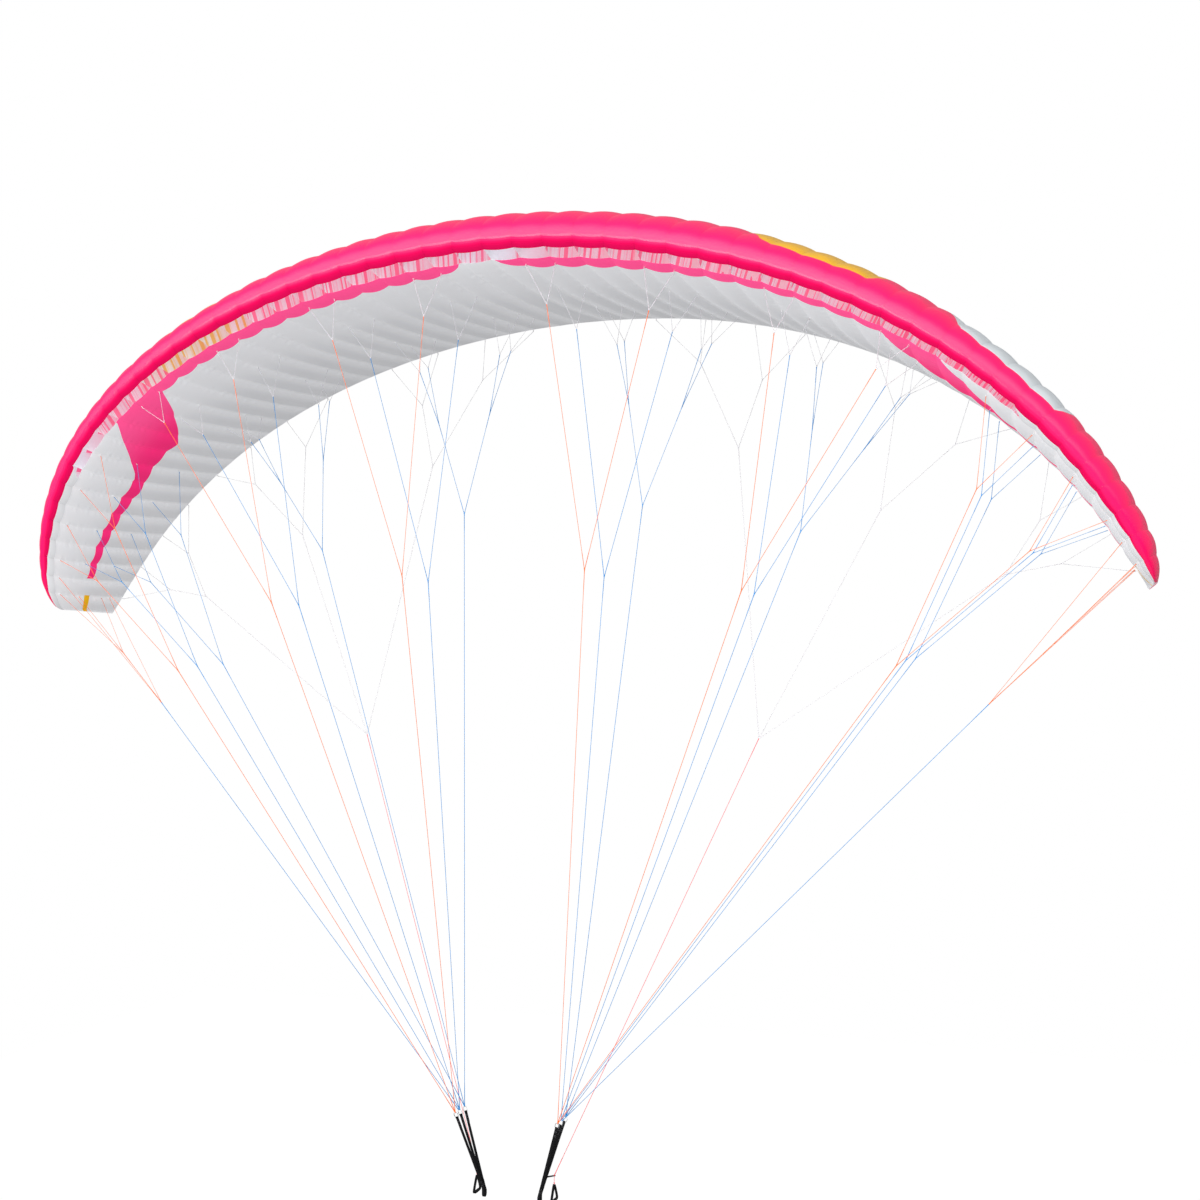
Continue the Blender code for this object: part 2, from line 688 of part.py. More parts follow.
def brake_guide():
    """The ring on the rear riser that the brake line runs through, with its tab."""
    bpy.ops.mesh.primitive_torus_add(major_segments=16, minor_segments=8, major_radius=GUIDE_RADIUS,
                                     minor_radius=GUIDE_WIRE, location=GUIDE)
    ring_object = bpy.context.object
    ring = bmesh.new()
    ring.from_mesh(ring_object.data)
    bmesh.ops.transform(ring, matrix=ring_object.matrix_world, verts=ring.verts)
    bpy.data.objects.remove(ring_object, do_unlink=True)
    foot, eye, along, across = riser_axes("c")
    face = along.cross(across)
    near = foot + along * (GUIDE.z - foot.z) / along.z
    reach = (GUIDE - near).normalized()
    tab = box_between(near, GUIDE - reach * GUIDE_RADIUS, GUIDE_TAB, WEBBING, Vector((0, 0, 1)))
    for vert in tab.verts:
        if (vert.co - near).length < GUIDE_TAB:
            vert.co += reach * (WEBBING / 2 + GAP - (vert.co - foot).dot(face)) / reach.dot(face)
    add_pair("brake_guide", combine(ring, tab, "UNION"), "dark_ring")


def toggle_outline(half, floor, shoulder, peak, neck):
    """Triangular outline in y and z, with cut lower corners."""
    right = [(half - TOGGLE_CORNER, floor), (half, floor + TOGGLE_CORNER), (half, shoulder), (neck, peak)]
    return [(GUIDE.y + y, z) for y, z in right] + [(GUIDE.y - y, z) for y, z in right[::-1]]


def toggle(side):
    """The brake handle, its hand hole right through."""
    outer, hole = (toggle_outline(*sizes) for sizes in TOGGLE_OUTLINES)
    name = "toggle_" + side_name(side)
    axis = GUIDE if side > 0 else mirrored(GUIDE)
    flat_ring(name, axis.x, outer, hole, TOGGLE_DEPTH / 2, "toggle_webbing", axis)


def toggle_line():
    """The short line from the guide down to the toggle."""
    bottom = Vector((GUIDE.x, GUIDE.y, TOGGLE_TOP + GAP))
    top = GUIDE - Vector((0, 0, GAP))
    line = box_between(bottom, top, 2 * MAIN_HALF, 2 * MAIN_HALF, Vector((1, 0, 0)))
    add_pair("toggle_line", line, "orange_line", GUIDE)


# The canopy, by sections between named seams: name, first seam, last seam
SECTIONS = (
    ("centre", -CENTRE_END, CENTRE_END),
    ("middle_left", CENTRE_END, MIDDLE_END), ("outer_left", MIDDLE_END, TIP_END),
    ("middle_right", -MIDDLE_END, -CENTRE_END), ("outer_right", -TIP_END, -MIDDLE_END),
)
for section, first_seam, last_seam in SECTIONS:
    skin_panel("upper_skin_" + section, first_seam, last_seam, False, "pink_cloth")
    skin_panel("lower_skin_" + section, first_seam, last_seam, True, "grey_cloth")
    inner = range(first_seam, last_seam + 1, 2)
    if section.startswith("middle"):
        inner = [seam for seam in inner if abs(seam) != CENTRE_END]
    if section.startswith("outer"):
        inner = [seam for seam in inner if abs(seam) != MIDDLE_END]
    rib_set("ribs_" + section, inner)

line_tree("lines_a", "a", link_top("a"), "orange_line")
line_tree("lines_b", "b", link_top("b", -0.002), "blue_line")
line_tree("lines_c", "c", link_top("c"), "blue_line")
line_tree("lines_tip", "tip", link_top("b", 0.006), "blue_line")
line_tree("lines_brake", "brake", GUIDE + Vector((0, 0, GAP / 2)), "pale_line")
brake_guide()
toggle_line()
for riser_row in RISERS:
    riser(riser_row)
for wing_side in (1, -1):
    hang_loop(wing_side)
    toggle(wing_side)
    for riser_row in RISERS:
        link(riser_row, wing_side)
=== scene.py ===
# %% [markdown]
# A light paraglider in flight, dressed for a render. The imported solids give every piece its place: this
# lesson loads them, builds the cloth, lines and webbing around them, and puts them before a soft white
# studio. All sizes are metres, +Z is up and the wing flies towards -Y.

# %% Load the frame
import json
import math
from functools import partialmethod

import bmesh
import bpy
import numpy as np
from mathutils import Matrix, Vector

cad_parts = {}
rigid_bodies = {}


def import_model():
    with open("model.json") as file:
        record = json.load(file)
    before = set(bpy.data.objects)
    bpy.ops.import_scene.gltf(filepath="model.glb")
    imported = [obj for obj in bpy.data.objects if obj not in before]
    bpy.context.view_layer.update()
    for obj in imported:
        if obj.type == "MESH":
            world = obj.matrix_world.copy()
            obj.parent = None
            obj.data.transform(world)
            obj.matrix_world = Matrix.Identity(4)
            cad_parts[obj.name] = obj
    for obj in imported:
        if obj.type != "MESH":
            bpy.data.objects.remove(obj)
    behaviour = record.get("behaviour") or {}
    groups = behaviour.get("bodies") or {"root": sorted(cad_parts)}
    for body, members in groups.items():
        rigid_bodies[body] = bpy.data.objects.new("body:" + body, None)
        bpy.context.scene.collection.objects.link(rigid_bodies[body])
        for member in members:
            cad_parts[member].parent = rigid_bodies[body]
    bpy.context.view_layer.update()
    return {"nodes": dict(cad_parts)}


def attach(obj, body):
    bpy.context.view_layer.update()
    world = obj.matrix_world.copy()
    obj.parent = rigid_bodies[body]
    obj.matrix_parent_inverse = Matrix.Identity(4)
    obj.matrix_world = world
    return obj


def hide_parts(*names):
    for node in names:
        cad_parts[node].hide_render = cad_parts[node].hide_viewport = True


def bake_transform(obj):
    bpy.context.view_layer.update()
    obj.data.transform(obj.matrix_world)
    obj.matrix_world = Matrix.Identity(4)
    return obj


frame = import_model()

scene = bpy.context.scene

# %% [markdown]
# A wing's shape is a rule, not a list of points. Its plan is close to an ellipse, its arc bends more and
# more towards the tips, and every section is the same aerofoil. The functions below take a place along the
# span, counted in half cells from the middle (seams odd, crests even), and a place along the chord, and
# give a point of the cloth. They work on whole arrays at once, so that a fine mesh takes no time.

# %% Canopy rule
HALF_SPAN, CHORD, PLAN_REACH, PLAN_POWER = 5.03, 2.517, 0.9492, 1.755
CELL_WIDTH, TIP_END, CENTRE_END, MIDDLE_END, INTAKE_END = 0.2125, 53, 17, 35, 37
REFERENCE, CROWN_HEIGHT, ARC_LINEAR, ARC_CUBIC = 0.30, 6.397, 0.849, 0.333
SWEEP_START, SWEEP_2, SWEEP_4 = -0.031, -0.3115, 0.848
PITCH_MIDDLE, PITCH_TIP = -0.018, 0.042
THICKNESS, CAMBER, CAMBER_AT, TIP_TAPER_FROM, TIP_THICKNESS = 0.158, 0.022, 0.3, 0.94, 0.22
TIP_CUT_FROM, TIP_CUT = 49.5, 0.16
NOSE_LIP, INTAKE_LIP, CLOSED_LIP = 0.027, 0.0736, 0.0732
PUFF_UPPER, PUFF_LOWER = 0.07, 0.05
PUCKER_UPPER, PUCKER_LOWER = 0.0008, 0.0011
SKIN_DEPTH, SKIN_DEPTH_FROM, SIDE_CELLS, FOLDS_FROM = 0.0022, 0.06, 0.85, 0.12
ROWS = {"A": 0.115, "B": 0.349, "C": 0.665, "D": 0.785, "TE": 1.0}

ARC_STEPS = np.linspace(0.0, HALF_SPAN, 800)
ARC_SLOPE = ARC_LINEAR * ARC_STEPS / HALF_SPAN + ARC_CUBIC * (ARC_STEPS / HALF_SPAN) ** 3
ARC_STEP = ARC_STEPS[1]


def summed(values):
    """Running integral along the arc, by the trapezium rule."""
    return np.concatenate(([0.0], np.cumsum((values[1:] + values[:-1]) / 2) * ARC_STEP))


ARC_X, ARC_DROP = summed(np.cos(ARC_SLOPE)), summed(np.sin(ARC_SLOPE))


def span_at(half_cell):
    even = CELL_WIDTH * TIP_END / 2
    return CELL_WIDTH * half_cell / 2 * (1 - (1 - HALF_SPAN / even) * (half_cell / TIP_END) ** 2)


def tip_cut(half_cell):
    """Share of the chord that the tip's rounded front corner takes away."""
    share = np.clip((np.abs(half_cell) - TIP_CUT_FROM) / (TIP_END - TIP_CUT_FROM), 0, 1)
    return TIP_CUT * (1 - np.sqrt(1 - share ** 2))


def axes_at(half_cell):
    """Origin, backward and upward directions, and chord, for an array of places along the span."""
    side = np.where(half_cell < 0, -1.0, 1.0)
    distance = span_at(np.abs(half_cell))
    t = distance / HALF_SPAN
    slope = ARC_LINEAR * t + ARC_CUBIC * t ** 3
    pitch = PITCH_MIDDLE + PITCH_TIP * t * t
    zero = np.zeros_like(t)
    normal = np.stack([side * np.sin(slope), zero, np.cos(slope)], -1)
    ahead = np.stack([zero, np.ones_like(t), zero], -1)
    cosine, sine = np.cos(pitch)[..., None], np.sin(pitch)[..., None]
    place = [side * np.interp(distance, ARC_STEPS, ARC_X), SWEEP_START + SWEEP_2 * t ** 2 + SWEEP_4 * t ** 4,
             CROWN_HEIGHT - np.interp(distance, ARC_STEPS, ARC_DROP)]
    chord, cut = CHORD * np.sqrt(1 - (PLAN_REACH * t) ** PLAN_POWER), tip_cut(half_cell)
    back = ahead * cosine - normal * sine
    origin = np.stack(place, -1) + back * ((1 - REFERENCE) * chord * cut)[..., None]
    return origin, back, normal * cosine + ahead * sine, chord * (1 - cut)


def thickness_at(half_cell):
    t = span_at(np.abs(half_cell)) / HALF_SPAN
    closing = np.maximum(0.0, (t - TIP_TAPER_FROM) / (1 - TIP_TAPER_FROM))
    return np.maximum(TIP_THICKNESS, np.sqrt(np.maximum(0.0, 1 - closing ** 2)))


def foil(x, side, share):
    rise = np.where(x < CAMBER_AT, x / CAMBER_AT, (1 - x) / (1 - CAMBER_AT))
    root = 0.2969 * np.sqrt(x) - 0.126 * x - 0.3516 * x ** 2 + 0.2843 * x ** 3 - 0.1036 * x ** 4
    return CAMBER * rise * (2 - rise) + side * 5 * THICKNESS * share * root


def pucker(half_cell, metres, lower):
    """Small folds that run off the seams, where the thread gathers the cloth."""
    seam = np.round((half_cell - 1) / 2)
    from_seam = np.abs((half_cell - 1) - 2 * seam)
    wave = np.sin(metres * 95 + 2.1 * seam) + 0.6 * np.sin(metres * 57 - 1.3 * seam)
    fade = np.exp(-((from_seam - 0.25) / 0.22) ** 2)
    return (PUCKER_LOWER if lower else PUCKER_UPPER) * wave * fade


def skin_height(station, lower, half_cell, chord):
    x = np.abs(station)
    side = np.where(station < 0, -1.0, -1.0 if lower else 1.0)
    height = chord * foil(x, side, thickness_at(half_cell))
    height = height + side * SKIN_DEPTH * np.minimum(1.0, x / SKIN_DEPTH_FROM)
    from_crest = half_cell - 2 * np.round(half_cell / 2)
    width = np.where(np.abs(half_cell) < CENTRE_END, CELL_WIDTH, CELL_WIDTH * SIDE_CELLS)
    puff, power = (PUFF_LOWER, 8) if lower else (PUFF_UPPER, 3)
    bulge = puff * width * (1 - from_crest ** 2) * (1 - x ** power)
    height = height + side * bulge * np.minimum(1.0, 0.4 + x / FOLDS_FROM) * thickness_at(half_cell)
    return height + side * pucker(half_cell, x * chord, lower) * (x > FOLDS_FROM)


def canopy_point(half_cell, station, lower):
    half_cell, station = np.broadcast_arrays(np.asarray(half_cell, float), np.asarray(station, float))
    origin, back, up, chord = axes_at(half_cell)
    along = ((np.abs(station) - REFERENCE) * chord)[..., None]
    return origin + back * along + up * skin_height(station, lower, half_cell, chord)[..., None]


middle_chord = float(axes_at(np.array([0.0]))[3][0])
print("centre chord", round(middle_chord, 3), "m, tip at", canopy_point(TIP_END, 0.3, False).round(3))

# %% [markdown]
# Every material here is a tree of nodes. A small class adds nodes and joins them, with a short name for each
# kind of sum that the materials use, and a second class holds a material that ends in one Principled shader.
# Colours have names, so that cloth, cords and metal can share them.

# %% Material helpers
SHADES = {name: (*colour, 1.0) for name, colour in {
    "pink": (1.0, 0.003, 0.120), "grey": (0.73, 0.737, 0.760), "yellow": (0.80, 0.43, 0.010),
    "patch_grey": (0.62, 0.66, 0.69), "white": (0.86, 0.86, 0.87), "inside_pink": (1.0, 0.16, 0.34),
    "inside_yellow": (0.86, 0.50, 0.10), "inside_pale": (0.84, 0.85, 0.89), "band_pink": (1.0, 0.085, 0.29),
    "deep_pink": (1.0, 0.018, 0.19), "floor": (0.04, 0.04, 0.04), "orange": (0.82, 0.16, 0.035),
    "blue": (0.03, 0.23, 0.54), "pale": (0.60, 0.59, 0.62), "rose": (1.0, 0.12, 0.14),
    "black": (0.004, 0.004, 0.005), "thread": (0.10, 0.10, 0.11), "steel": (0.62, 0.63, 0.65),
    "dark_metal": (0.06, 0.06, 0.07)}.items()}


class Nodes:
    """A node tree under construction: adds nodes and joins them."""

    def __init__(self, tree):
        self.tree = tree

    def put(self, socket, value):
        """Joins an output to an input, or sets the input: to a number, or to a shade by its name."""
        if isinstance(value, bpy.types.NodeSocket):
            self.tree.links.new(value, socket)
        else:
            socket.default_value = SHADES.get(value, value)

    def node(self, kind, *values, settings=(), **inputs):
        """A node with settings, whose inputs are given in order or by name."""
        made = self.tree.nodes.new(kind)
        for name, value in dict(settings).items():
            setattr(made, name, value)
        for socket, value in zip(made.inputs, values):
            self.put(socket, value)
        for name, value in inputs.items():
            self.put(made.inputs[name.replace("_", " ")], value)
        return made

    def math(self, operation, *values):
        return self.node("ShaderNodeMath", *values, settings={"operation": operation}).outputs[0]

    times, plus = partialmethod(math, "MULTIPLY"), partialmethod(math, "ADD")
    above, below = partialmethod(math, "GREATER_THAN"), partialmethod(math, "LESS_THAN")
    scaled, largest = partialmethod(math, "MULTIPLY_ADD"), partialmethod(math, "MAXIMUM")
    size, zigzag = partialmethod(math, "ABSOLUTE"), partialmethod(math, "PINGPONG")

    def between(self, value, low, high):
        return self.times(self.above(value, low), self.below(value, high))

    def mix(self, share, first, second):
        made = self.node("ShaderNodeMix", share, settings={"data_type": "RGBA"})
        self.put(made.inputs[6], first)
        self.put(made.inputs[7], second)
        return made.outputs[2]

    def ramp(self, value, start, end, low, high):
        """Eases from low to high while the value goes from start to end."""
        return self.node("ShaderNodeMapRange", value, start, end, low, high,
                         settings={"interpolation_type": "SMOOTHSTEP"}).outputs[0]

    def attribute(self, name):
        return self.node("ShaderNodeAttribute", settings={"attribute_name": name}).outputs["Fac"]

    def place(self):
        return self.node("ShaderNodeTexCoord").outputs["Object"]

    def noise(self, scale, detail):
        return self.node("ShaderNodeTexNoise", Vector=self.place(), Scale=scale, Detail=detail).outputs["Fac"]

    def streaks(self, place, scale, detail=2.0):
        """Noise along one number."""
        return self.node("ShaderNodeTexNoise", settings={"noise_dimensions": "1D"}, W=place, Scale=scale,
                         Detail=detail).outputs["Fac"]


class Shader(Nodes):
    """A material that ends in one Principled shader."""

    def __init__(self, name, shade, roughness, metallic=0.0):
        self.material = bpy.data.materials.new(name)
        self.material.use_nodes = True
        self.material.diffuse_color = SHADES[shade]
        super().__init__(self.material.node_tree)
        self.set(Base_Color=shade, Roughness=roughness, Metallic=metallic)

    def set(self, **inputs):
        """Sets or joins inputs of the Principled shader, and gives the material."""
        for name, value in inputs.items():
            self.put(self.tree.nodes["Principled BSDF"].inputs[name.replace("_", " ")], value)
        return self.material

    def bump(self, height, distance, strength):
        made = self.node("ShaderNodeBump", Height=height, Distance=distance, Strength=strength)
        self.set(Normal=made.outputs["Normal"])

    def lit(self, colour, light):
        """Colours the surface, lighter or darker by a number."""
        shade = self.node("ShaderNodeHueSaturation", Color=colour, Value=light).outputs["Color"]
        self.set(Base_Color=shade)
        return shade


print(len(SHADES), "shades:", ", ".join(SHADES))

# %% [markdown]
# Ripstop cloth is a thin coated weave with a grid of stronger threads every few millimetres. The colours of
# a real wing are cut and sewn panels, so their edges follow the span and the chord. Each skin therefore
# carries two numbers on its points, its place along the span in cells and along the chord in shares, and
# the material compares them with a few curves. That keeps the edges crisp at any distance.

# %% Panels and seams
GRID_HALF, GRID_THREAD = 0.003, 0.0025  # half a square of the ripstop grid, and where its thread starts


def ripstop(shader, fold):
    """Grid of heavier threads every 6 mm, over a fine crinkle of the coating; the seams stand proud."""
    across, along = (shader.above(shader.zigzag(shader.attribute(name), GRID_HALF), GRID_THREAD)
                     for name in ("span_metres", "chord_metres"))
    crinkle = shader.scaled(shader.noise(26.0, 4.0), 6.0, shader.times(fold, 4.0))
    shader.bump(shader.plus(shader.largest(across, along), crinkle), 0.00012, 0.55)


def varied(shader, colour, depth=0.06, light=1.0):
    """Slight unevenness of the dye, under a given light."""
    dye = shader.scaled(shader.noise(2.2, 3.0), 2 * depth, 1.0 - depth)
    return shader.lit(colour, shader.times(dye, light))


# Panel edges: (cells from the middle, share of the chord). The last is where the grey starts under the nose.
BAND_REAR = ((0.0, 0.06), (0.6, 0.06), (0.65, 0.078), (1.5, 0.126), (5.0, 0.130), (13.4, 0.122),
             (14.25, 0.270), (15.45, 0.432), (15.92, 0.474), (16.67, 0.462), (17.67, 0.472), (18.5, 0.500),
             (19.1, 0.505), (20.2, 0.490), (24.4, 0.480), (24.43, 0.05), (27.0, 0.05))
BAND_FRONT = ((0.0, 0.0), (15.6, 0.0), (15.65, 0.074), (16.3, 0.152), (17.17, 0.272), (18.02, 0.382),
              (18.38, 0.412), (24.0, 0.410), (27.0, 0.410))
YELLOW_FRONT = ((0.0, 0.16), (8.3, 0.16), (9.1, 0.050), (10.0, 0.037), (11.0, 0.034), (12.6, 0.047),
                (12.85, 0.100), (13.3, 0.33), (13.8, 0.62), (27.0, 0.62))
YELLOW_REAR = ((0.0, 0.16), (8.3, 0.16), (9.2, 0.36), (10.6, 0.53), (12.4, 0.63), (13.8, 0.62), (27.0, 0.62))
PALE_FRONT = ((0.0, 0.16), (15.0, 0.16), (15.7, 0.052), (16.3, 0.045), (18.8, 0.031), (19.56, 0.040),
              (19.86, 0.110), (20.2, 0.34), (20.6, 0.60), (27.0, 0.60))
PALE_REAR = ((0.0, 0.16), (15.0, 0.16), (15.9, 0.36), (17.3, 0.52), (19.2, 0.61), (20.6, 0.60), (27.0, 0.60))
UNDER_EDGE = ((0.0, 0.10), (18.4, 0.10), (18.5, 0.034), (22.5, 0.033), (25.2, 0.013), (26.6, 0.003),
              (27.0, 0.003))
TIP_TAB = (25.42, 0.435, 0.507)
# Shares of the chord over which the painted shade under the nose sets in; the gloss drops there too.
UNDER_NOSE = (-0.010, -0.003)
SCALLOP = 0.009
SEAM_FOLD, STITCH_AT, STITCH_HALF, STRIP_END = 0.004, 0.012, 0.0014, 0.035  # cells away from the seam
STITCH_STEP, STITCH_LONG = 0.0025, 0.0017  # metres along the chord, both halved
EDGE_CELLS = 27.0  # how far the panel edges reach from the middle


def edge_curve(shader, cells, table):
    """A panel's edge as a curve from places along the span to shares of the chord."""
    made = shader.node("ShaderNodeFloatCurve", Value=shader.math("DIVIDE", cells, EDGE_CELLS))
    curve = made.mapping.curves[0]
    points = [(place / EDGE_CELLS, share) for place, share in table]
    curve.points[0].location, curve.points[1].location = points[0], points[-1]
    for point in points[1:-1]:
        curve.points.new(*point)
    for point in curve.points:
        point.handle_type = "VECTOR"
    made.mapping.update()
    return made.outputs[0]


def scalloped(shader, cells, table, start, end, flat):
    """A panel's edge, bowed back in the middle of each cell, and by another depth from start to end."""
    wave = shader.size(shader.math("COSINE", shader.times(cells, math.pi)))
    depth = shader.scaled(shader.between(cells, start, end), flat - SCALLOP, SCALLOP)
    return shader.scaled(wave, depth, edge_curve(shader, cells, table))


def seams(shader, cells):
    """Each seam's fold, the strip of doubled cloth along it, and a row of stitches on either side."""
    off = shader.zigzag(shader.plus(cells, 0.5), 0.5)
    row = shader.below(shader.size(shader.math("SUBTRACT", off, STITCH_AT)), STITCH_HALF)
    dash = shader.below(shader.zigzag(shader.attribute("chord_metres"), STITCH_STEP), STITCH_LONG)
    strip = shader.ramp(off, STITCH_AT, STRIP_END, 1.0, 0.0)
    return shader.below(off, SEAM_FOLD), strip, shader.times(row, dash)


print("the pink band reaches back to", max(share for _, share in BAND_REAR), "of the chord")

# %% [markdown]
# The outer cloth comes in two kinds. The upper skin is pink with a yellow and a pale panel, and turns grey
# where it wraps under the nose. The lower skin is pale grey with the pink band, whose front and rear edges
# are scalloped, and thin enough for the ribs to shade it.

# %% Outer cloth
# Painted light: LOWER_GLOW is a glow on the lower skin, and on the grey cloth under the nose, that stands for
# daylight coming through the thin skins.
LOWER_GLOW, RIB_SHADE = 0.42, 0.15


def upper_cloth():
    shader = Shader("upper_cloth", "pink", 0.28)
    cells, share = shader.size(shader.attribute("span_cells")), shader.attribute("chord_share")
    colour = "pink"
    for shade, *edges in (("yellow", YELLOW_FRONT, YELLOW_REAR), ("patch_grey", PALE_FRONT, PALE_REAR)):
        panel = shader.between(share, *(edge_curve(shader, cells, edge) for edge in edges))
        colour = shader.mix(panel, colour, shade)
    under = shader.above(shader.times(share, -1.0), edge_curve(shader, cells, UNDER_EDGE))
    colour = shader.mix(under, colour, "grey")
    fold, _, stitch = seams(shader, cells)
    seam = shader.largest(shader.times(fold, 0.12), shader.times(stitch, 0.3))
    # Painted shade: the colour is darkened to 0.78 where the upper skin turns under the nose.
    colour = varied(shader, shader.mix(seam, colour, "black"),
                    light=shader.ramp(share, *UNDER_NOSE, 0.78, 1.0))
    ripstop(shader, fold)
    gloss = shader.times(shader.ramp(share, *UNDER_NOSE, 0.06, 1.0),
                         shader.ramp(share, 0.06, 0.16, 0.5, 0.12))
    return shader.set(Emission_Color=shader.mix(under, "black", colour), Emission_Strength=LOWER_GLOW,
                      Specular_IOR_Level=gloss)


def rib_shadow(shader, cells, share):
    """The ribs' shade on the thin cloth: it deepens outwards over each cell and grows towards the rear."""
    across = shader.math("FRACT", shader.plus(cells, 0.5))
    deep = shader.times(shader.ramp(across, 0.02, 0.62, 0.0, 1.0), shader.ramp(across, 0.84, 0.99, 1.0, 0.0))
    deep = shader.times(deep, shader.ramp(share, 0.15, 0.62, 0.10, 1.0))
    return shader.scaled(deep, -RIB_SHADE, 1.0)


def lower_cloth():
    shader = Shader("lower_cloth", "grey", 0.5)
    cells, share = shader.size(shader.attribute("span_cells")), shader.attribute("chord_share")
    fold, strip, stitch = seams(shader, cells)
    pale = shader.largest(shader.times(fold, 0.4), shader.times(strip, 0.22))
    colour = shader.mix(pale, "grey", "white")
    front = scalloped(shader, cells, BAND_FRONT, -1.0, 18.5, 0.0)
    rear = scalloped(shader, cells, BAND_REAR, 13.4, 18.5, 0.005)
    # Painted shade: the band's pink turns deeper towards the rear of the chord.
    pink = shader.mix(shader.ramp(share, 0.14, 0.40, 0.0, 0.85), "band_pink", "deep_pink")
    colour = shader.mix(shader.between(share, front, rear), colour, pink)
    first, low, high = TIP_TAB
    tab = shader.times(shader.above(cells, first), shader.between(share, low, high))
    colour = shader.mix(tab, colour, "yellow")
    colour = shader.mix(shader.times(stitch, 0.4), colour, "thread")
    colour = varied(shader, colour, 0.03, rib_shadow(shader, cells, share))
    ripstop(shader, fold)
    return shader.set(Emission_Color=colour, Emission_Strength=LOWER_GLOW, Specular_IOR_Level=0.12)


CLOTH = {"upper": upper_cloth(), "lower": lower_cloth()}
for material in CLOTH.values():
    print(material.name, "has", len(material.node_tree.nodes), "nodes")

# %% [markdown]
# The cloth inside shows through the open cells: the nose and the ribs are stiffened there, and painted
# streaks of pink and yellow light, as it comes through the coloured skins, run across them. Tapes, cords and
# metal parts close the list of materials.

# %% Inner cloth, cords and metal
GLOW = 0.20
# Painted light: the streaks are yellow in WARM_CELLS, pink elsewhere, and left out in BARE_CELLS.
WARM_CELLS, BARE_CELLS = (-13.2, -9.2), ((0.1, 2.0), (-30.0, -16.5))
# Where the painted streaks of light end: share of the chord on the nose, metres behind the front on the ribs.
NOSE_CLOTH, RIB_FRONT = 0.22, (1.1, 1.3)  # where the strips end: share of the chord, metres behind the front


def light_streaks(shader, cells, place, scale):
    """Pale reinforcement with painted streaks of coloured light across the place; some cells have none."""
    shade = shader.mix(shader.between(cells, *WARM_CELLS), "inside_pink", "inside_yellow")
    fine = shader.ramp(shader.streaks(place, scale * 1.8), 0.50, 0.55, 0.0, 0.32)
    bold = shader.ramp(shader.streaks(place, scale, 1.0), 0.555, 0.575, 0.0, 0.9)
    bare = shader.largest(*(shader.between(cells, *zone) for zone in BARE_CELLS))
    share = shader.times(shader.largest(fine, bold), shader.math("SUBTRACT", 1.0, bare))
    return shader.mix(share, "inside_pale", shade)


def soft(shader, light, glow):
    """A fine crinkle, and a glow that stands for daylight that comes through the thin skins."""
    shader.bump(shader.noise(320.0, 3.0), 0.0002, 0.5)
    return shader.set(Emission_Color=light, Emission_Strength=glow)


def nose_inside():
    """Inner side of the upper skin: the reinforced nose with painted streaks of light, and coloured cloth
    behind.
    """
    shader = Shader("nose_inside", "white", 0.6)
    cells, share = shader.attribute("span_cells"), shader.attribute("chord_share")
    nose = light_streaks(shader, cells, shader.scaled(share, 0.7, shader.attribute("span_metres")), 30.0)
    colour = shader.mix(shader.between(share, NOSE_CLOTH, 2.0), nose, "inside_pink")
    return soft(shader, varied(shader, colour), GLOW)


def rib_cloth():
    """The ribs' cloth, with painted streaks of coloured light over its front part, which shows through the
    open cells.
    """
    shader = Shader("rib_cloth", "white", 0.6)
    cells, back = shader.attribute("span_cells"), shader.attribute("chord_metres")
    front = light_streaks(shader, cells, shader.scaled(cells, 3.1, back), 12.0)
    colour = shader.mix(shader.ramp(back, *RIB_FRONT, 1.0, 0.0), "white", front)
    return soft(shader, varied(shader, colour), GLOW)


def plain_cloth(name, shade, roughness=0.55, glow=0.0):
    """Cloth without a grid."""
    shader = Shader(name, shade, roughness)
    varied(shader, shade, 0.05)
    return soft(shader, shade, glow)


def braid(shade):
    """Braided cord: fine diagonal lights and darks that run round it."""
    shader = Shader(shade + "_cord", shade, 0.6)
    weave = shader.node("ShaderNodeTexVoronoi", Vector=shader.place(), Scale=900.0).outputs["Distance"]
    shader.lit(shade, shader.scaled(weave, 0.5, 0.75))
    shader.bump(weave, 0.0003, 0.6)
    return shader.set(Specular_IOR_Level=0.1)


def metal(name, shade, roughness):
    shader = Shader(name, shade, roughness, 1.0)
    scratch = shader.noise(480.0, 4.0)
    shader.bump(scratch, 0.0001, 0.3)
    return shader.set(Roughness=shader.scaled(scratch, 0.25, roughness - 0.1))


CLOTH |= {"rib": rib_cloth(), "upper_inside": nose_inside(),
          "lower_inside": plain_cloth("lower_inside", "white", glow=GLOW),
          "tab": plain_cloth("tab_tape", "white")}
CORD = {shade: braid(shade) for shade in ("orange", "blue", "pale", "rose")}
THREAD = plain_cloth("sewing_thread", "thread")
STEEL = metal("link_steel", "steel", 0.28)
DARK = metal("ring_metal", "dark_metal", 0.35)
print(len(bpy.data.materials), "materials")

# %% [markdown]
# The skins come first. Each is an open sheet: a grid of points from the rule above, eight columns to a
# cell so that every cell bulges between its seams, and rows that crowd together round the nose, where the
# curve is tight. A Solidify modifier then turns the sheet inwards into cloth with a second side, which
# shows through the open cells.

# %% Skins
SECTIONS = {"centre": (-CENTRE_END, CENTRE_END), "middle_left": (CENTRE_END, MIDDLE_END),
            "outer_left": (MIDDLE_END, TIP_END), "middle_right": (-MIDDLE_END, -CENTRE_END),
            "outer_right": (-TIP_END, -MIDDLE_END)}
COLUMNS_PER_CELL = 8
UPPER_ROWS, UNDER_NOSE_ROWS, LOWER_ROWS = 56, 7, 48
CLOTH_THICKNESS = 0.0007


def new_object(name, data):
    made = bpy.data.objects.new(name, data)
    scene.collection.objects.link(made)
    return made


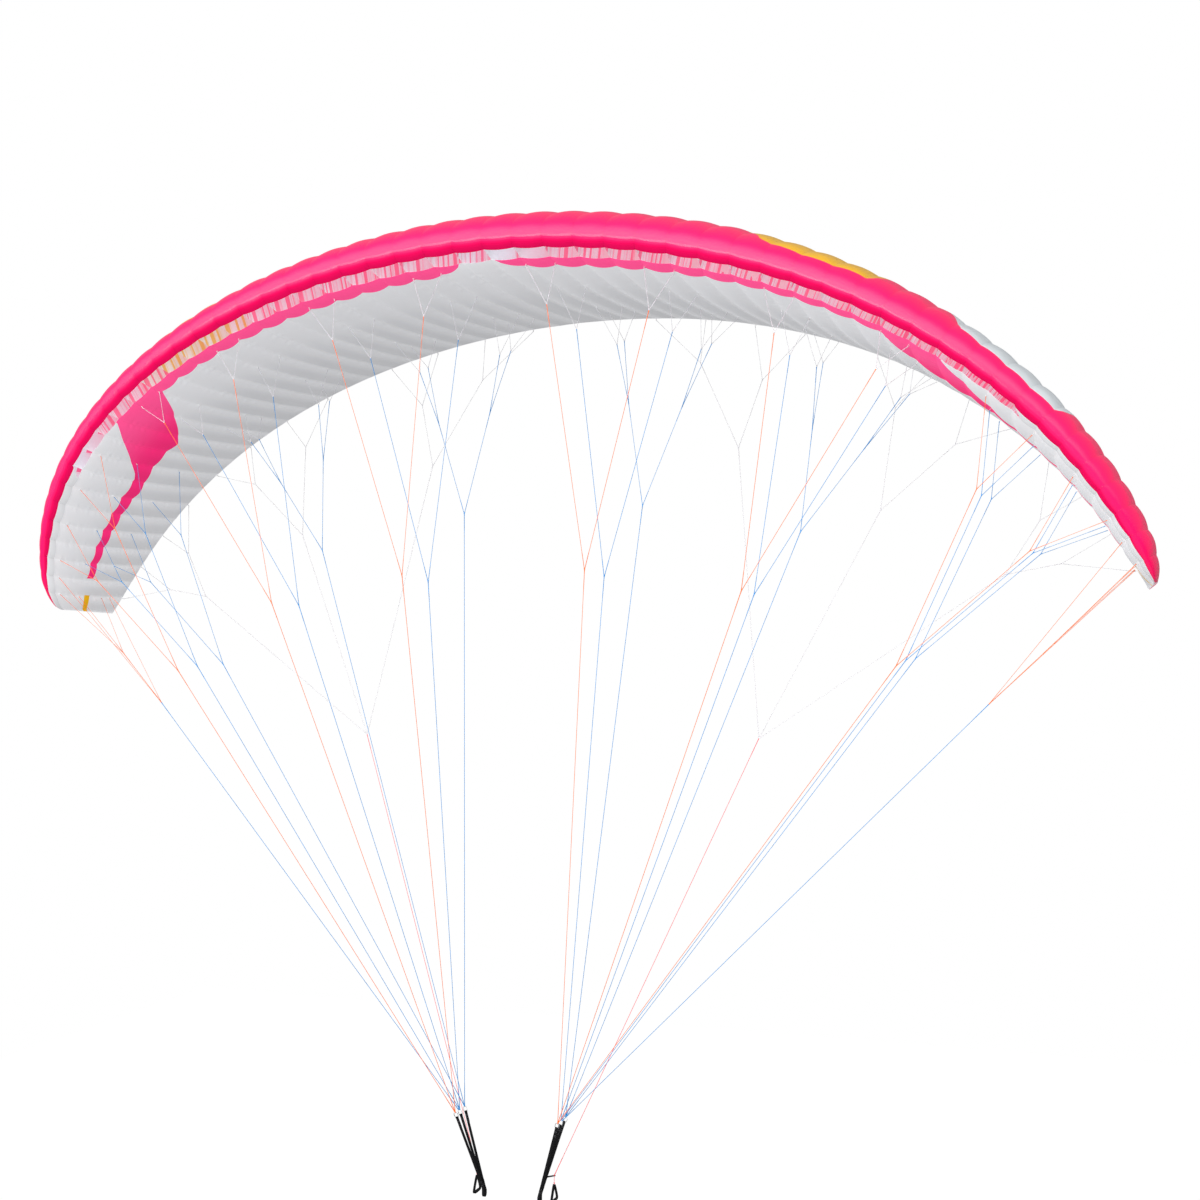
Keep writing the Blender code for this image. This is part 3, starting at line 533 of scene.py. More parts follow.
def plain_mesh(obj):
    """Turns an object with modifiers into one with a plain mesh."""
    name = obj.name
    mesh = bpy.data.meshes.new_from_object(obj.evaluated_get(bpy.context.evaluated_depsgraph_get()))
    bpy.data.objects.remove(obj, do_unlink=True)
    mesh.name = name
    return new_object(name, mesh)


def from_points(name, points, edges=(), faces=()):
    mesh = bpy.data.meshes.new(name)
    mesh.from_pydata(points, edges, faces)
    return new_object(name, mesh)


def store(mesh, name, values, kind="FLOAT", field="value"):
    """Keeps a number or a vector on every point of a mesh."""
    mesh.attributes.new(name, kind, "POINT").data.foreach_set(field, np.asarray(values, np.float32).ravel())


def dress(made, body, slot, *nodes):
    """Says what a piece rides on and which solids it stands for; the slot is not used."""
    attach(made, body)
    for node in nodes:
        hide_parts(node)
    return made


def nose_reach(half_cell):
    """How far the upper skin wraps under the nose: further where the cell is closed."""
    return np.interp(np.abs(half_cell), (INTAKE_END, INTAKE_END + 1), (NOSE_LIP, CLOSED_LIP))


def stations(half_cell, lower):
    """Chord places of a skin's rows, for every column."""
    if lower:
        rows = INTAKE_LIP + (1 - INTAKE_LIP) * np.linspace(0, 1, LOWER_ROWS + 1) ** 1.15
        return np.broadcast_to(rows, (len(half_cell), LOWER_ROWS + 1))
    under = np.sqrt(nose_reach(half_cell))[:, None] * np.linspace(1, 0, UNDER_NOSE_ROWS, endpoint=False)
    over = np.linspace(0, 1, UPPER_ROWS + 1) ** 2
    return np.concatenate([-under ** 2, np.broadcast_to(over, (len(half_cell), UPPER_ROWS + 1))], 1)


def skin(section, lower):
    first, last = SECTIONS[section]
    half_cell = np.linspace(first, last, (last - first) // 2 * COLUMNS_PER_CELL + 1)
    share = stations(half_cell, lower)
    columns, rows = share.shape
    spread = np.broadcast_to(half_cell[:, None], share.shape)
    points = canopy_point(spread, share, lower).reshape(-1, 3)
    corner = (np.arange(columns - 1)[:, None] * rows + np.arange(rows - 1)).reshape(-1)
    faces = np.stack([corner, corner + rows, corner + rows + 1, corner + 1], -1)[:, ::-1 if lower else 1]
    side = "lower" if lower else "upper"
    made = from_points(f"{side}_cloth_{section}", points.tolist(), faces=faces.tolist())
    mesh = made.data
    store(mesh, "span_cells", spread / 2)
    store(mesh, "chord_share", share)
    store(mesh, "span_metres", span_at(spread))
    store(mesh, "chord_metres", share * axes_at(half_cell)[3][:, None])
    ends = np.empty(len(mesh.edges) * 2, np.int32)
    mesh.edges.foreach_get("vertices", ends)
    column = ends.reshape(-1, 2) // rows
    creased = (column[:, 0] == column[:, 1]) & (column[:, 0] % COLUMNS_PER_CELL == 0)
    mesh.attributes.new("sharp_edge", "BOOLEAN", "EDGE").data.foreach_set("value", creased)
    mesh.materials.append(CLOTH[side])
    mesh.materials.append(CLOTH[side + "_inside"])
    shell = made.modifiers.new("cloth", "SOLIDIFY")
    shell.thickness, shell.offset, shell.use_even_offset = CLOTH_THICKNESS, -1, True
    shell.material_offset = 1
    made = dress(plain_mesh(made), "wing", "grey_cloth" if lower else "pink_cloth", f"{side}_skin_{section}")
    return made


skins = [skin(section, lower) for section in SECTIONS for lower in (False, True)]
up_share = sum(polygon.normal.z > 0 for polygon in skins[0].data.polygons) / len(skins[0].data.polygons)
print(len(skins), "skins,", sum(len(s.data.polygons) for s in skins), "faces; facing up:", round(up_share, 2))

# %% [markdown]
# Ribs keep the two skins apart. They are flat cloth cut to the aerofoil, with round cross ports through
# which the air spreads from cell to cell. A filled 2D curve is the short way to a plate with holes: Blender
# fills the outline and leaves out every curve inside it. Each flat plate is then laid into the wing's own
# section plane.

# %% Ribs
RIB_THICKNESS, RIB_CLEARANCE, RIB_END = 0.0008, 0.0022, 0.97
PORTS = ((0.27, 0.54), (0.43, 0.54), (0.54, 0.51), (0.73, 0.48), (0.84, 0.39))  # share of chord, of depth
PORT_SIDES, PORT_SHAPE, NOSE_ROWS = 18, 0.8, 8


def rib_outline(half_cell, chord):
    """The rib's outline and ports, flat, in metres from the chord's front."""
    edges = []
    for is_lower, turn in ((False, 1), (True, -1)):
        station = stations(np.array([float(half_cell)]), is_lower)[0]
        height = skin_height(station, is_lower, np.full_like(station, half_cell), chord)
        path = np.stack([np.abs(station) * chord, height], -1)
        run = np.gradient(path, axis=0)
        run /= np.linalg.norm(run, axis=1)[:, None]
        path += np.stack([run[:, 1], -run[:, 0]], -1) * turn * RIB_CLEARANCE
        edges.append(path[path[:, 0] < RIB_END * chord])
    upper, lower = edges
    outlines = [np.concatenate([upper[::2], lower[::-2]])]
    angle = np.linspace(0, 2 * math.pi, PORT_SIDES, endpoint=False)
    for share, size in PORTS:
        top = np.interp(share * chord, *upper[NOSE_ROWS:].T)
        bottom = np.interp(share * chord, *lower.T)
        radius = (top - bottom) / 2 * size
        centre = np.array([share * chord, (top + bottom) / 2])
        outlines.append(centre + np.stack([np.cos(angle) * radius * PORT_SHAPE, np.sin(angle) * radius], -1))
    return outlines


def flat_plate(outlines, thickness):
    """A filled 2D curve with holes, as vertices and faces."""
    data = bpy.data.curves.new("plate", "CURVE")
    data.dimensions, data.fill_mode, data.extrude = "2D", "BOTH", thickness / 2
    for outline in outlines:
        spline = data.splines.new("POLY")
        spline.points.add(len(outline) - 1)
        spline.points.foreach_set("co", np.pad(outline, ((0, 0), (0, 2))).ravel())
        spline.use_cyclic_u = True
    made = plain_mesh(new_object("plate", data))
    mesh = bmesh.new()
    mesh.from_mesh(made.data)
    bpy.data.objects.remove(made, do_unlink=True)
    bmesh.ops.remove_doubles(mesh, verts=mesh.verts, dist=1e-5)
    bmesh.ops.recalc_face_normals(mesh, faces=mesh.faces)
    return mesh


def rib(half_cell, gathered):
    """One rib, laid in its section plane and added to the gathered mesh."""
    origin, back, up, chord = (value[0] for value in axes_at(np.array([float(half_cell)])))
    plate = flat_plate(rib_outline(half_cell, chord), RIB_THICKNESS)
    cells, back_metres = (plate.verts.layers.float.new(name) for name in ("span_cells", "chord_metres"))
    for point in plate.verts:
        point[cells], point[back_metres] = half_cell / 2, point.co.x
    inward = -np.sign(half_cell) * RIB_CLEARANCE if abs(half_cell) == TIP_END else 0.0
    section_plane = Matrix((Vector(back), Vector(up), Vector(back).cross(Vector(up)))).transposed().to_4x4()
    section_plane.translation = Vector(origin - back * REFERENCE * chord) + section_plane.col[2].xyz * inward
    plate.transform(section_plane)
    mesh = bpy.data.meshes.new("rib")
    plate.to_mesh(mesh)
    plate.free()
    gathered.from_mesh(mesh)
    bpy.data.meshes.remove(mesh)


def from_bmesh(name, gathered, *materials):
    mesh = bpy.data.meshes.new(name)
    gathered.to_mesh(mesh)
    gathered.free()
    for material in materials:
        mesh.materials.append(material)
    return new_object(name, mesh)


def rib_set(section):
    """A section's ribs; the rib where two sections meet belongs to the inner one."""
    first, last = SECTIONS[section]
    shared = {"middle": CENTRE_END, "outer": MIDDLE_END}.get(section.split("_")[0])
    gathered = bmesh.new()
    for seam in range(first, last + 1, 2):
        if abs(seam) != shared:
            rib(seam, gathered)
    made = from_bmesh(f"cloth_ribs_{section}", gathered, CLOTH["rib"])
    return dress(made, "wing", "white_cloth", f"ribs_{section}")


rib_sets = [rib_set(section) for section in SECTIONS]
print("ribs:", sum(len(made.data.polygons) for made in rib_sets), "faces")

# %% [markdown]
# Lines, seams and stitches all follow paths, so Geometry Nodes make them. The first tree sweeps a round
# section along every edge of a mesh. Each point says how thick the cord is there, because a spliced line
# is thicker for a hand's width at both of its ends. The section's size and its number of sides are inputs.

# %% Cord tree
def geometry_tree(name, build, **inputs):
    """A tree with named inputs: what it builds is made real and gets a material."""
    tree = bpy.data.node_groups.new(name, "GeometryNodeTree")
    for title, kind in {"Geometry": "Geometry", **inputs, "Material": "Material"}.items():
        tree.interface.new_socket(title, in_out="INPUT", socket_type="NodeSocket" + kind)
    tree.interface.new_socket("Geometry", in_out="OUTPUT", socket_type="NodeSocketGeometry")
    nodes, given = Nodes(tree), tree.nodes.new("NodeGroupInput").outputs
    real = nodes.node("GeometryNodeRealizeInstances", Geometry=build(nodes, given).outputs[0])
    painted = nodes.node("GeometryNodeSetMaterial", Geometry=real.outputs[0], Material=given["Material"])
    nodes.put(tree.nodes.new("NodeGroupOutput").inputs[0], painted.outputs[0])
    return tree


def build_cord(nodes, given):
    path = nodes.node("GeometryNodeMeshToCurve", Mesh=given["Geometry"])
    thick = nodes.node("GeometryNodeInputNamedAttribute", Name="thick")
    ring = nodes.node("GeometryNodeCurvePrimitiveCircle", Resolution=given["Sides"], Radius=1.0)
    tube = nodes.node("GeometryNodeCurveToMesh", Curve=path.outputs[0], Profile_Curve=ring.outputs[0],
                      Scale=nodes.times(thick.outputs["Attribute"], given["Scale"]), Fill_Caps=True)
    return nodes.node("GeometryNodeSetShadeSmooth", Geometry=tube.outputs[0], Shade_Smooth=True)


CORD_TREE = geometry_tree("cord_along_edges", build_cord, Scale="Float", Sides="Int")


def run_tree(obj, tree, **values):
    """Runs a tree once on an object and keeps the mesh that it makes."""
    modifier = obj.modifiers.new("made", "NODES")
    modifier.node_group = tree
    for item in tree.interface.items_tree:
        if item.in_out == "INPUT" and item.name in values:
            modifier[item.identifier] = values[item.name]
    return plain_mesh(obj)


def strand_mesh(name, strands):
    """Edges along paths, with a thickness at every point: each strand is (points, thicknesses)."""
    points, edges, thick = [], [], []
    for path, widths in strands:
        edges += [(len(points) + index, len(points) + index + 1) for index in range(len(path) - 1)]
        points += [tuple(point) for point in path]
        thick += list(widths)
    made = from_points(name, points, edges)
    store(made.data, "thick", thick)
    return made


def cords(name, strands, material, sides=6):
    return run_tree(strand_mesh(name, strands), CORD_TREE, Scale=1.0, Sides=sides, Material=material)


def joined(name, pieces):
    """One object from several, each with its own materials."""
    gathered, materials = bmesh.new(), []
    for piece in pieces:
        materials += [material for material in piece.data.materials if material not in materials]
        remap = [materials.index(material) for material in piece.data.materials]
        before = len(gathered.faces)
        gathered.from_mesh(piece.data)
        gathered.faces.ensure_lookup_table()
        for face in gathered.faces[before:]:
            face.material_index = remap[face.material_index]
        bpy.data.objects.remove(piece, do_unlink=True)
    return from_bmesh(name, gathered, *materials)


print("tree inputs:", [item.name for item in CORD_TREE.interface.items_tree if item.in_out == "INPUT"])

# %% [markdown]
# The riser straps hold the lines. On each side three straps of flat webbing run from one hang loop to
# three small links, the front one to the A lines, the middle one to B and the rear one to C. Their ends are
# known from the solids, so they come first: each line starts at its link.

# %% Riser directions
LOOP_X, LOOP_TOP, LOOP_HALF = 0.2025, 0.0483, 0.020
LINK_TOP = Vector((0.363, 0.0, 0.540))
RISERS = {"a": (-0.008, -0.098), "b": (0.0, -0.034), "c": (0.008, 0.045)}  # y at the loop, y at the link
LINK_REACH = 0.0318
GUIDE = Vector((0.284, 0.060, 0.170))


def riser_axes(row):
    """Foot, eye, and the directions along, across and through one strap on the left."""
    y_loop, y_link = RISERS[row]
    foot, eye = Vector((LOOP_X, y_loop, LOOP_TOP)), LINK_TOP + Vector((0, y_link, 0))
    along = (eye - foot).normalized()
    across = Vector((along.z, 0, -along.x)).normalized()
    return foot, eye, along, across, along.cross(across)


def link_top(row, slide=0.0):
    _, eye, along, across, _ = riser_axes(row)
    return eye + along * LINK_REACH + across * slide


for row in RISERS:
    print("strap", row, "is", round((riser_axes(row)[1] - riser_axes(row)[0]).length, 3), "m long")

# %% [markdown]
# A taut line is straight, so a fan of lines is known from its forks alone. Each fork lies on the straight
# way from the fork below it to the middle of all the places that it carries, and one number says how far
# along. That keeps the whole fan in balance, as the pull of the cloth does in the air.

# %% Line forks
# How far up its way a fork lies, for each third of a fan: its lowest fork, the inner one and the outer one.
FORK_SHARES = {
    "a": ((0.650, 0.865, 0.862), (0.675, 0.864, 0.880), (0.705, 0.708, 0.686)),
    "b": ((0.647, 0.851, 0.859), (0.675, 0.852, 0.876), (0.715, 0.707, 0.691)),
    "c": ((0.738, 0.507, 0.508), (0.758, 0.510, 0.521), (0.716, 0.716, 0.704)),
    "k": ((0.678, 0.651, 0.567), (0.645, 0.696, 0.678), (0.736, 0.552, 0.470))}
# The inner thirds of the C fan fork once more, to the C row and to the D row.
TOP_SHARES = {"c1i": (0.603, 0.670), "c1o": (0.601, 0.686), "c2i": (0.637, 0.708), "c2o": (0.657, 0.736)}
# The seams that the inner and the outer fork of each third carry, counted from the middle.
LINE_SEAMS = (((2, 3), (6, 7)), ((10, 11), (14, 15)), ((18, 20), (22, 24)))
BRAKE_SEAMS = (((3, 5), (7, 9)), ((12, 14), (16, 18)), ((20, 22), (24, 26)))
TAB_LENGTH = 0.016
# Each fork: share of the way to the middle of what it carries, then what it carries: forks, or (seam, row).
FANS = {}


def add_fan(letter, share, seam_pairs, row):
    """A fan of three thirds, each with an inner and an outer fork that carry two seams."""
    FANS[letter] = (share, *(letter + third for third in "123"))
    for third, pairs, (low, *shares) in zip("123", seam_pairs, FORK_SHARES[letter]):
        FANS[letter + third] = (low, letter + third + "i", letter + third + "o")
        for end, pair, share in zip("io", pairs, shares):
            fork = letter + third + end
            if fork in TOP_SHARES:
                FANS[fork] = (share, fork + "c", fork + "d")
                for top, top_share in zip("cd", TOP_SHARES[fork]):
                    FANS[fork + top] = (top_share, *((seam, top.upper()) for seam in pair))
            else:
                FANS[fork] = (share, *((seam, row) for seam in pair))


for letter in "abc":
    add_fan(letter, 0.0, LINE_SEAMS, letter.upper())
FANS |= {"tip": (0.0, "t"), "t": (0.755, (25, "A"), "t1", (26, "D")),
         "t1": (0.453, (26, "A"), (26, "B"), (26, "C")), "brake": (0.0, "k")}
add_fan("k", 0.547, BRAKE_SEAMS, "TE")


def canopy_place(number, row, below=0.0):
    """A place on the lower skin at a seam, counted from the middle."""
    half_cell = np.array([2.0 * number - 1])
    up = axes_at(half_cell)[2][0]
    return Vector(canopy_point(half_cell, ROWS[row], True)[0] - up * below)


def carried_places(branch):
    if not isinstance(branch, str):
        return [canopy_place(*branch)]
    return [place for further in FANS[branch][1:] for place in carried_places(further)]


FORK_PLACES = {"a": link_top("a"), "b": link_top("b", -0.002), "c": link_top("c"),
               "tip": link_top("b", 0.006), "brake": GUIDE.copy()}
for branch, (_, *carried) in FANS.items():
    for further in carried:
        if isinstance(further, str):
            places = carried_places(further)
            middle = sum(places, Vector()) / len(places)
            FORK_PLACES[further] = FORK_PLACES[branch].lerp(middle, FANS[further][0])
print(len(FORK_PLACES), "forks; highest", round(max(place.z for place in FORK_PLACES.values()), 2), "m")

# %% [markdown]
# Each line is a braided cord, sewn back into itself at both ends. That makes it half as thick again for
# the last hand's width, with a small bulge where two lines loop into each other. Colours tell the rows
# apart: A is orange, B and C are blue, the short top lines of the inner groups are pale, and the brake
# line is red below pale branches.

# %% Line fans
MAIN_RADIUS, UPPER_RADIUS, TOP_RADIUS = 0.0019, 0.0017, 0.0014
SPLICE, BULGE, SPLICE_LENGTH = 1.35, 1.9, 0.11
KNOT_SHORT, KNOT_LONG, SPLICE_MOST, TAPER = 0.006, 0.02, 0.3, 0.01
PALE_TOPS = ({row + third + end for row in "ab" for third in "12" for end in "io"}
             | {fork + row for fork in TOP_SHARES for row in "cd"})


def cord_shade(branch):
    """Colour of the lines above a fork."""
    if branch == "brake":
        return "rose"
    if branch.startswith("k") or branch in PALE_TOPS:
        return "pale"
    return "orange" if branch.startswith("a") or branch in ("t", "t1") else "blue"


def line_strand(start, end, radius):
    length = (end - start).length
    splice, long_knot = min(SPLICE_LENGTH, length * SPLICE_MOST) / length, KNOT_LONG / length
    stops = ((0.0, BULGE), (KNOT_SHORT / length, BULGE), (long_knot, SPLICE), (splice, SPLICE),
             (splice + TAPER, 1.0), (1 - TAPER - splice, 1.0), (1 - splice, SPLICE), (1 - long_knot, SPLICE),
             (1.0, BULGE))
    return [start.lerp(end, share) for share, _ in stops], [radius * size for _, size in stops]


def fan_strands(root):
    """All lines above a link or guide, sorted by colour."""
    found, waiting = {}, [root]
    while waiting:
        branch = waiting.pop()
        for further in FANS[branch][1:]:
            if isinstance(further, str):
                end, radius = FORK_PLACES[further], MAIN_RADIUS if len(further) <= 2 else UPPER_RADIUS
                waiting.append(further)
            else:
                end, radius = canopy_place(*further, below=TAB_LENGTH * 0.9), TOP_RADIUS
            found.setdefault(cord_shade(branch), []).append(line_strand(FORK_PLACES[branch], end, radius))
    return found


def both_sides(obj, name, body, slot=None, *nodes):
    """Names a left piece, mirrors it to the right, and says what both ride on and stand for."""
    obj.name = obj.data.name = name + "_left"
    mesh = obj.data.copy()
    mesh.transform(Matrix.Scale(-1, 4, (1, 0, 0)))
    mesh.flip_normals()
    for piece, side in ((obj, "_left"), (new_object(name + "_right", mesh), "_right")):
        dress(piece, body if body == "wing" else body + side, slot, *(node + side for node in nodes))
    return obj


LINE_SLOTS = {"a": "orange_line", "b": "blue_line", "c": "blue_line", "tip": "blue_line",
              "brake": "pale_line"}
for root, slot_name in LINE_SLOTS.items():
    strands = fan_strands(root)
    fan = joined("fan", [cords("cord_" + shade, group, CORD[shade]) for shade, group in strands.items()])
    both_sides(fan, "line_fan_" + root, "wing", slot_name, "lines_" + root)
    for shade, group in strands.items():
        lengths = [(places[-1] - places[0]).length for places, _ in group]
        print(fan.name, len(group), shade, "lines,", round(sum(lengths), 1), "m in all, the longest",
              round(max(lengths), 2), "m")

# %% [markdown]
# Where a line meets the cloth, a loop of narrow tape is sewn into the seam. All of them are alike, so a
# tree places one loop at each point. Two vectors stored on the points turn it: down along the pull of the
# line, and along the chord.

# %% Tab tree
def build_tabs(nodes, given):
    down, along = (nodes.node("GeometryNodeInputNamedAttribute", settings={"data_type": "FLOAT_VECTOR"},
                              Name=name).outputs["Attribute"] for name in ("down", "along"))
    turn = nodes.node("FunctionNodeAxesToRotation", down, along,
                      settings={"primary_axis": "Z", "secondary_axis": "Y"})
    ring = nodes.node("GeometryNodeCurvePrimitiveCircle", Resolution=12, Radius=0.5)
    size = nodes.node("ShaderNodeCombineXYZ", given["Width"], given["Length"], 1.0)
    shaped = nodes.node("GeometryNodeTransform", Geometry=ring.outputs[0], Scale=size.outputs[0])
    profile = nodes.node("GeometryNodeCurvePrimitiveQuadrilateral", Width=given["Thickness"],
                         Height=given["Tape"])
    loop = nodes.node("GeometryNodeCurveToMesh", Curve=shaped.outputs[0], Profile_Curve=profile.outputs[0],
                      Fill_Caps=False)
    upright = nodes.node("GeometryNodeTransform", Geometry=loop.outputs[0], Rotation=(math.pi / 2, 0.0, 0.0))
    return nodes.node("GeometryNodeInstanceOnPoints", Points=given["Geometry"], Instance=upright.outputs[0],
                      Rotation=turn.outputs[0])


TAB_TREE = geometry_tree("tape_loops", build_tabs, Length="Float", Width="Float", Thickness="Float",
                         Tape="Float")
TAB_PLACES = [further for branch in FANS.values() for further in branch[1:] if not isinstance(further, str)]


def tab_points():
    """A point for each loop, half its length below the cloth, with its two directions."""
    places, down, along = [], [], []
    for number, row in TAB_PLACES:
        back, up = (Vector(axis[0]) for axis in axes_at(np.array([2.0 * number - 1]))[1:3])
        places.append(canopy_place(number, row) - up * TAB_LENGTH * 0.42)
        down.append(-up)
        along.append(back)
    made = from_points("tabs", places)
    for name, vectors in (("down", down), ("along", along)):
        store(made.data, name, vectors, "FLOAT_VECTOR", "vector")
    return made


tabs = run_tree(tab_points(), TAB_TREE, Length=TAB_LENGTH, Width=0.006, Thickness=0.0008, Tape=0.007,
                Material=CLOTH["tab"])
both_sides(tabs, "line_tabs", "wing", "white_cloth")
print(len(TAB_PLACES), "tape loops a side,", len(tabs.data.polygons), "faces")

# %% [markdown]
# Riser webbing is woven flat, folded round the link and sewn back onto itself. A strap is made here by
# sweeping a flat section with worn edges along a path in the strap's own plane. Its points carry their
# distance along and across the strap, so that the weave follows every fold.

# %% Straps
def strap_material(name, shade):
    shader = Shader(name, shade, 0.72)
    along, across = shader.attribute("strap_along"), shader.attribute("strap_across")
    chevron = shader.plus(along, shader.zigzag(across, 0.0025))
    height = shader.math("DIVIDE", shader.zigzag(chevron, 0.0007), 0.0007)
    shader.lit(shade, shader.scaled(height, 0.9, 0.6))
    shader.bump(shader.plus(height, shader.noise(1500.0, 1.0)), 0.0003, 0.9)
    return shader.set(Sheen_Weight=0.04, Specular_IOR_Level=0.10)


STRAP = strap_material("strap_webbing", "black")
STRAP_WIDTH, PLY = 0.020, 0.0017


def tube(rings, material, closed=False, **layers):
    """A skin over a row of rings, joined end to end or capped; each layer holds a number for every point."""
    mesh = bmesh.new()
    fields = [(mesh.verts.layers.float.new(name), values) for name, values in layers.items()]
    rings = [[mesh.verts.new(point) for point in ring] for ring in rings]
    for layer, values in fields:
        for vert, value in zip(mesh.verts, values):
            vert[layer] = value
    for near, far in zip(rings, rings[1:] + rings[:closed]):
        for quad in zip(near, near[1:] + near[:1], far[1:] + far[:1], far):
            mesh.faces.new(quad)
    if not closed:
        mesh.faces.new(rings[0])
        mesh.faces.new(rings[-1][::-1])
    bmesh.ops.recalc_face_normals(mesh, faces=mesh.faces)
    return from_bmesh("tube", mesh, material)


def strap(path, across, width=STRAP_WIDTH, thickness=PLY, closed=False):
    """Webbing swept along a path, its flat side along one direction."""
    path, across = np.array(path, float), np.array(across, float)
    steps = np.roll(path, -1, 0) - path
    run = (steps + np.roll(steps, 1, 0)) if closed else np.gradient(path, axis=0)
    run /= np.linalg.norm(run, axis=1)[:, None]
    deep = np.cross(run, across)
    edge = thickness * 0.35
    w, t = width / 2, thickness / 2
    corners = [(w, -t + edge), (w, t - edge), (w - edge, t), (w / 3, t), (-w / 3, t), (-w + edge, t)]
    corners += [(-x, -y) for x, y in corners]
    rings = np.stack([path + across * x + deep * y for x, y in corners], 1)
    travelled = np.concatenate(([0.0], np.cumsum(np.linalg.norm(np.diff(path, axis=0), axis=1))))
    return tube(rings, STRAP, closed, strap_along=np.repeat(travelled, len(corners)),
                strap_across=[x for x, _ in corners] * len(path))


def eased(points, rounds=3, cut=0.25, closed=False):
    """Rounds the corners of a path by cutting them, several times over."""
    points = [Vector(point) for point in points]
    for _ in range(rounds):
        pairs = zip(points, points[1:] + points[:1]) if closed else zip(points, points[1:])
        cutting = [place for a, b in pairs for place in (a.lerp(b, cut), b.lerp(a, cut))]
        points = cutting if closed else [points[0]] + cutting[1:-1] + [points[-1]]
    return points


EYE_RADIUS, FOLD_BACK = 0.0035, 0.075


def riser_path(row):
    """Up the strap, round the link, and back down to the end of the seam."""
    foot, eye, along, _, deep = riser_axes(row)
    length = (eye - foot).length
    top = length - 0.012
    up = [foot + along * share * top - deep * PLY / 2 for share in np.linspace(-0.012, 1, 40)]
    turn = [eye + along * math.sin(angle) * EYE_RADIUS - deep * math.cos(angle) * EYE_RADIUS
            for angle in np.linspace(-0.6, math.pi + 0.6, 16)]
    down = [foot + along * height + deep * (PLY / 2 + 0.0001)
            for height in np.linspace(top, length - FOLD_BACK, 8)]
    return up + turn + down


for row in RISERS:
    piece = strap(riser_path(row), riser_axes(row)[3])
    both_sides(piece, "strap_" + row, "wing", "black_webbing", "riser_" + row)
print("straps of", PLY * 1000, "mm webbing")

# %% [markdown]
# The hang loop carries the pilot. It is the same webbing, wrapped round the carabiner and sewn up both
# sides of the three straps. A ring keeps the loop open below, and two outer plies reach up along the
# front and rear straps.

# %% Hang loops
LOOP_PLY, ROUNDING = 0.0028, 0.012


def hang_loop_piece():
    half, low, high = LOOP_HALF - LOOP_PLY / 2, -LOOP_PLY / 2, LOOP_TOP - 0.0003 - LOOP_PLY / 2
    right = [(half - 0.006, high), (half, high - ROUNDING), (half, low + ROUNDING), (half - ROUNDING, low)]
    left = [(-y, z) for y, z in right[::-1]]
    ring = [(LOOP_X, y, z) for y, z in left[1:] + right + left[:1]]
    pieces = [strap(eased(ring, closed=True), (1, 0, 0), thickness=LOOP_PLY, closed=True)]
    for row, side in (("a", -1), ("c", 1)):
        foot, _, along, across, deep = riser_axes(row)
        outer = [Vector((LOOP_X, side * (LOOP_HALF - 0.001), z)) for z in (0.028, 0.040)]
        for height in (0.012, 0.022, 0.035, 0.05, 0.062):
            lift = 0.0025 + 0.0025 * math.exp(-height / 0.01)
            outer.append(foot + along * height + deep * side * lift)
        flat = across.lerp(Vector((1, 0, 0)), 0.5).normalized()
        pieces.append(strap(eased(outer, 2), flat, thickness=0.0018))
    return joined("loop", pieces)


both_sides(hang_loop_piece(), "hang_loop_webbing", "wing", "black_webbing", "hang_loop")

# %% [markdown]
# Sewing shows as short stitches in rows. The second tree walks along each path, drops a point at every
# stitch, and lays a tiny rounded bar there, turned along the path.

# %% Stitch tree
def build_stitches(nodes, given):
    path = nodes.node("GeometryNodeMeshToCurve", Mesh=given["Geometry"])
    points = nodes.node("GeometryNodeCurveToPoints", settings={"mode": "LENGTH"}, Curve=path.outputs[0],
                        Length=given["Pitch"])
    turn = nodes.node("FunctionNodeAlignRotationToVector", settings={"axis": "Z"},
                      Vector=points.outputs["Tangent"])
    bar = nodes.node("GeometryNodeMeshCylinder", Vertices=5, Side_Segments=1, Fill_Segments=1,
                     Radius=given["Radius"], Depth=given["Length"])
    return nodes.node("GeometryNodeInstanceOnPoints", Points=points.outputs["Points"],
                      Instance=bar.outputs["Mesh"], Rotation=turn.outputs[0])


STITCH_TREE = geometry_tree("stitches_along_edges", build_stitches, Pitch="Float", Length="Float",
                            Radius="Float")
TACK_HALF, SEAM_HALF, TACK_STEPS = 0.008, 0.0085, 9


def zigzag(foot, along, across, face, low, high):
    """A bar tack: a zigzag over a strap, lifted onto its face."""
    return [foot + along * (low + (high - low) * step / TACK_STEPS)
            + across * TACK_HALF * (1 if step % 2 else -1) + face for step in range(TACK_STEPS + 1)]


def riser_stitch_paths():
    paths = []
    for row in RISERS:
        foot, eye, along, across, deep = riser_axes(row)
        length = (eye - foot).length
        for face in (-deep * (PLY + 0.0001), deep * (PLY + 0.0002)):
            for low, high in ((length - 0.07, length - 0.055), (length - 0.04, length - 0.02)):
                paths.append(zigzag(foot, along, across, face, low, high))
            for offset in (-SEAM_HALF, SEAM_HALF):
                paths.append([foot + along * height + across * offset + face
                              for height in (length - FOLD_BACK + 0.003, length - 0.014)])
    for row, side in (("a", -1), ("c", 1)):
        foot, _, along, across, deep = riser_axes(row)
        for low, high in ((0.020, 0.034), (0.044, 0.058)):
            paths.append(zigzag(foot, along, across, deep * side * 0.0037, low, high))
    return paths


sewing = strand_mesh("riser_sewing", [(path, [1.0] * len(path)) for path in riser_stitch_paths()])
sewing = run_tree(sewing, STITCH_TREE, Pitch=0.0032, Length=0.0024, Radius=0.0003, Material=THREAD)
both_sides(sewing, "riser_stitches", "wing")
print(len(sewing.data.polygons), "faces of thread a side")

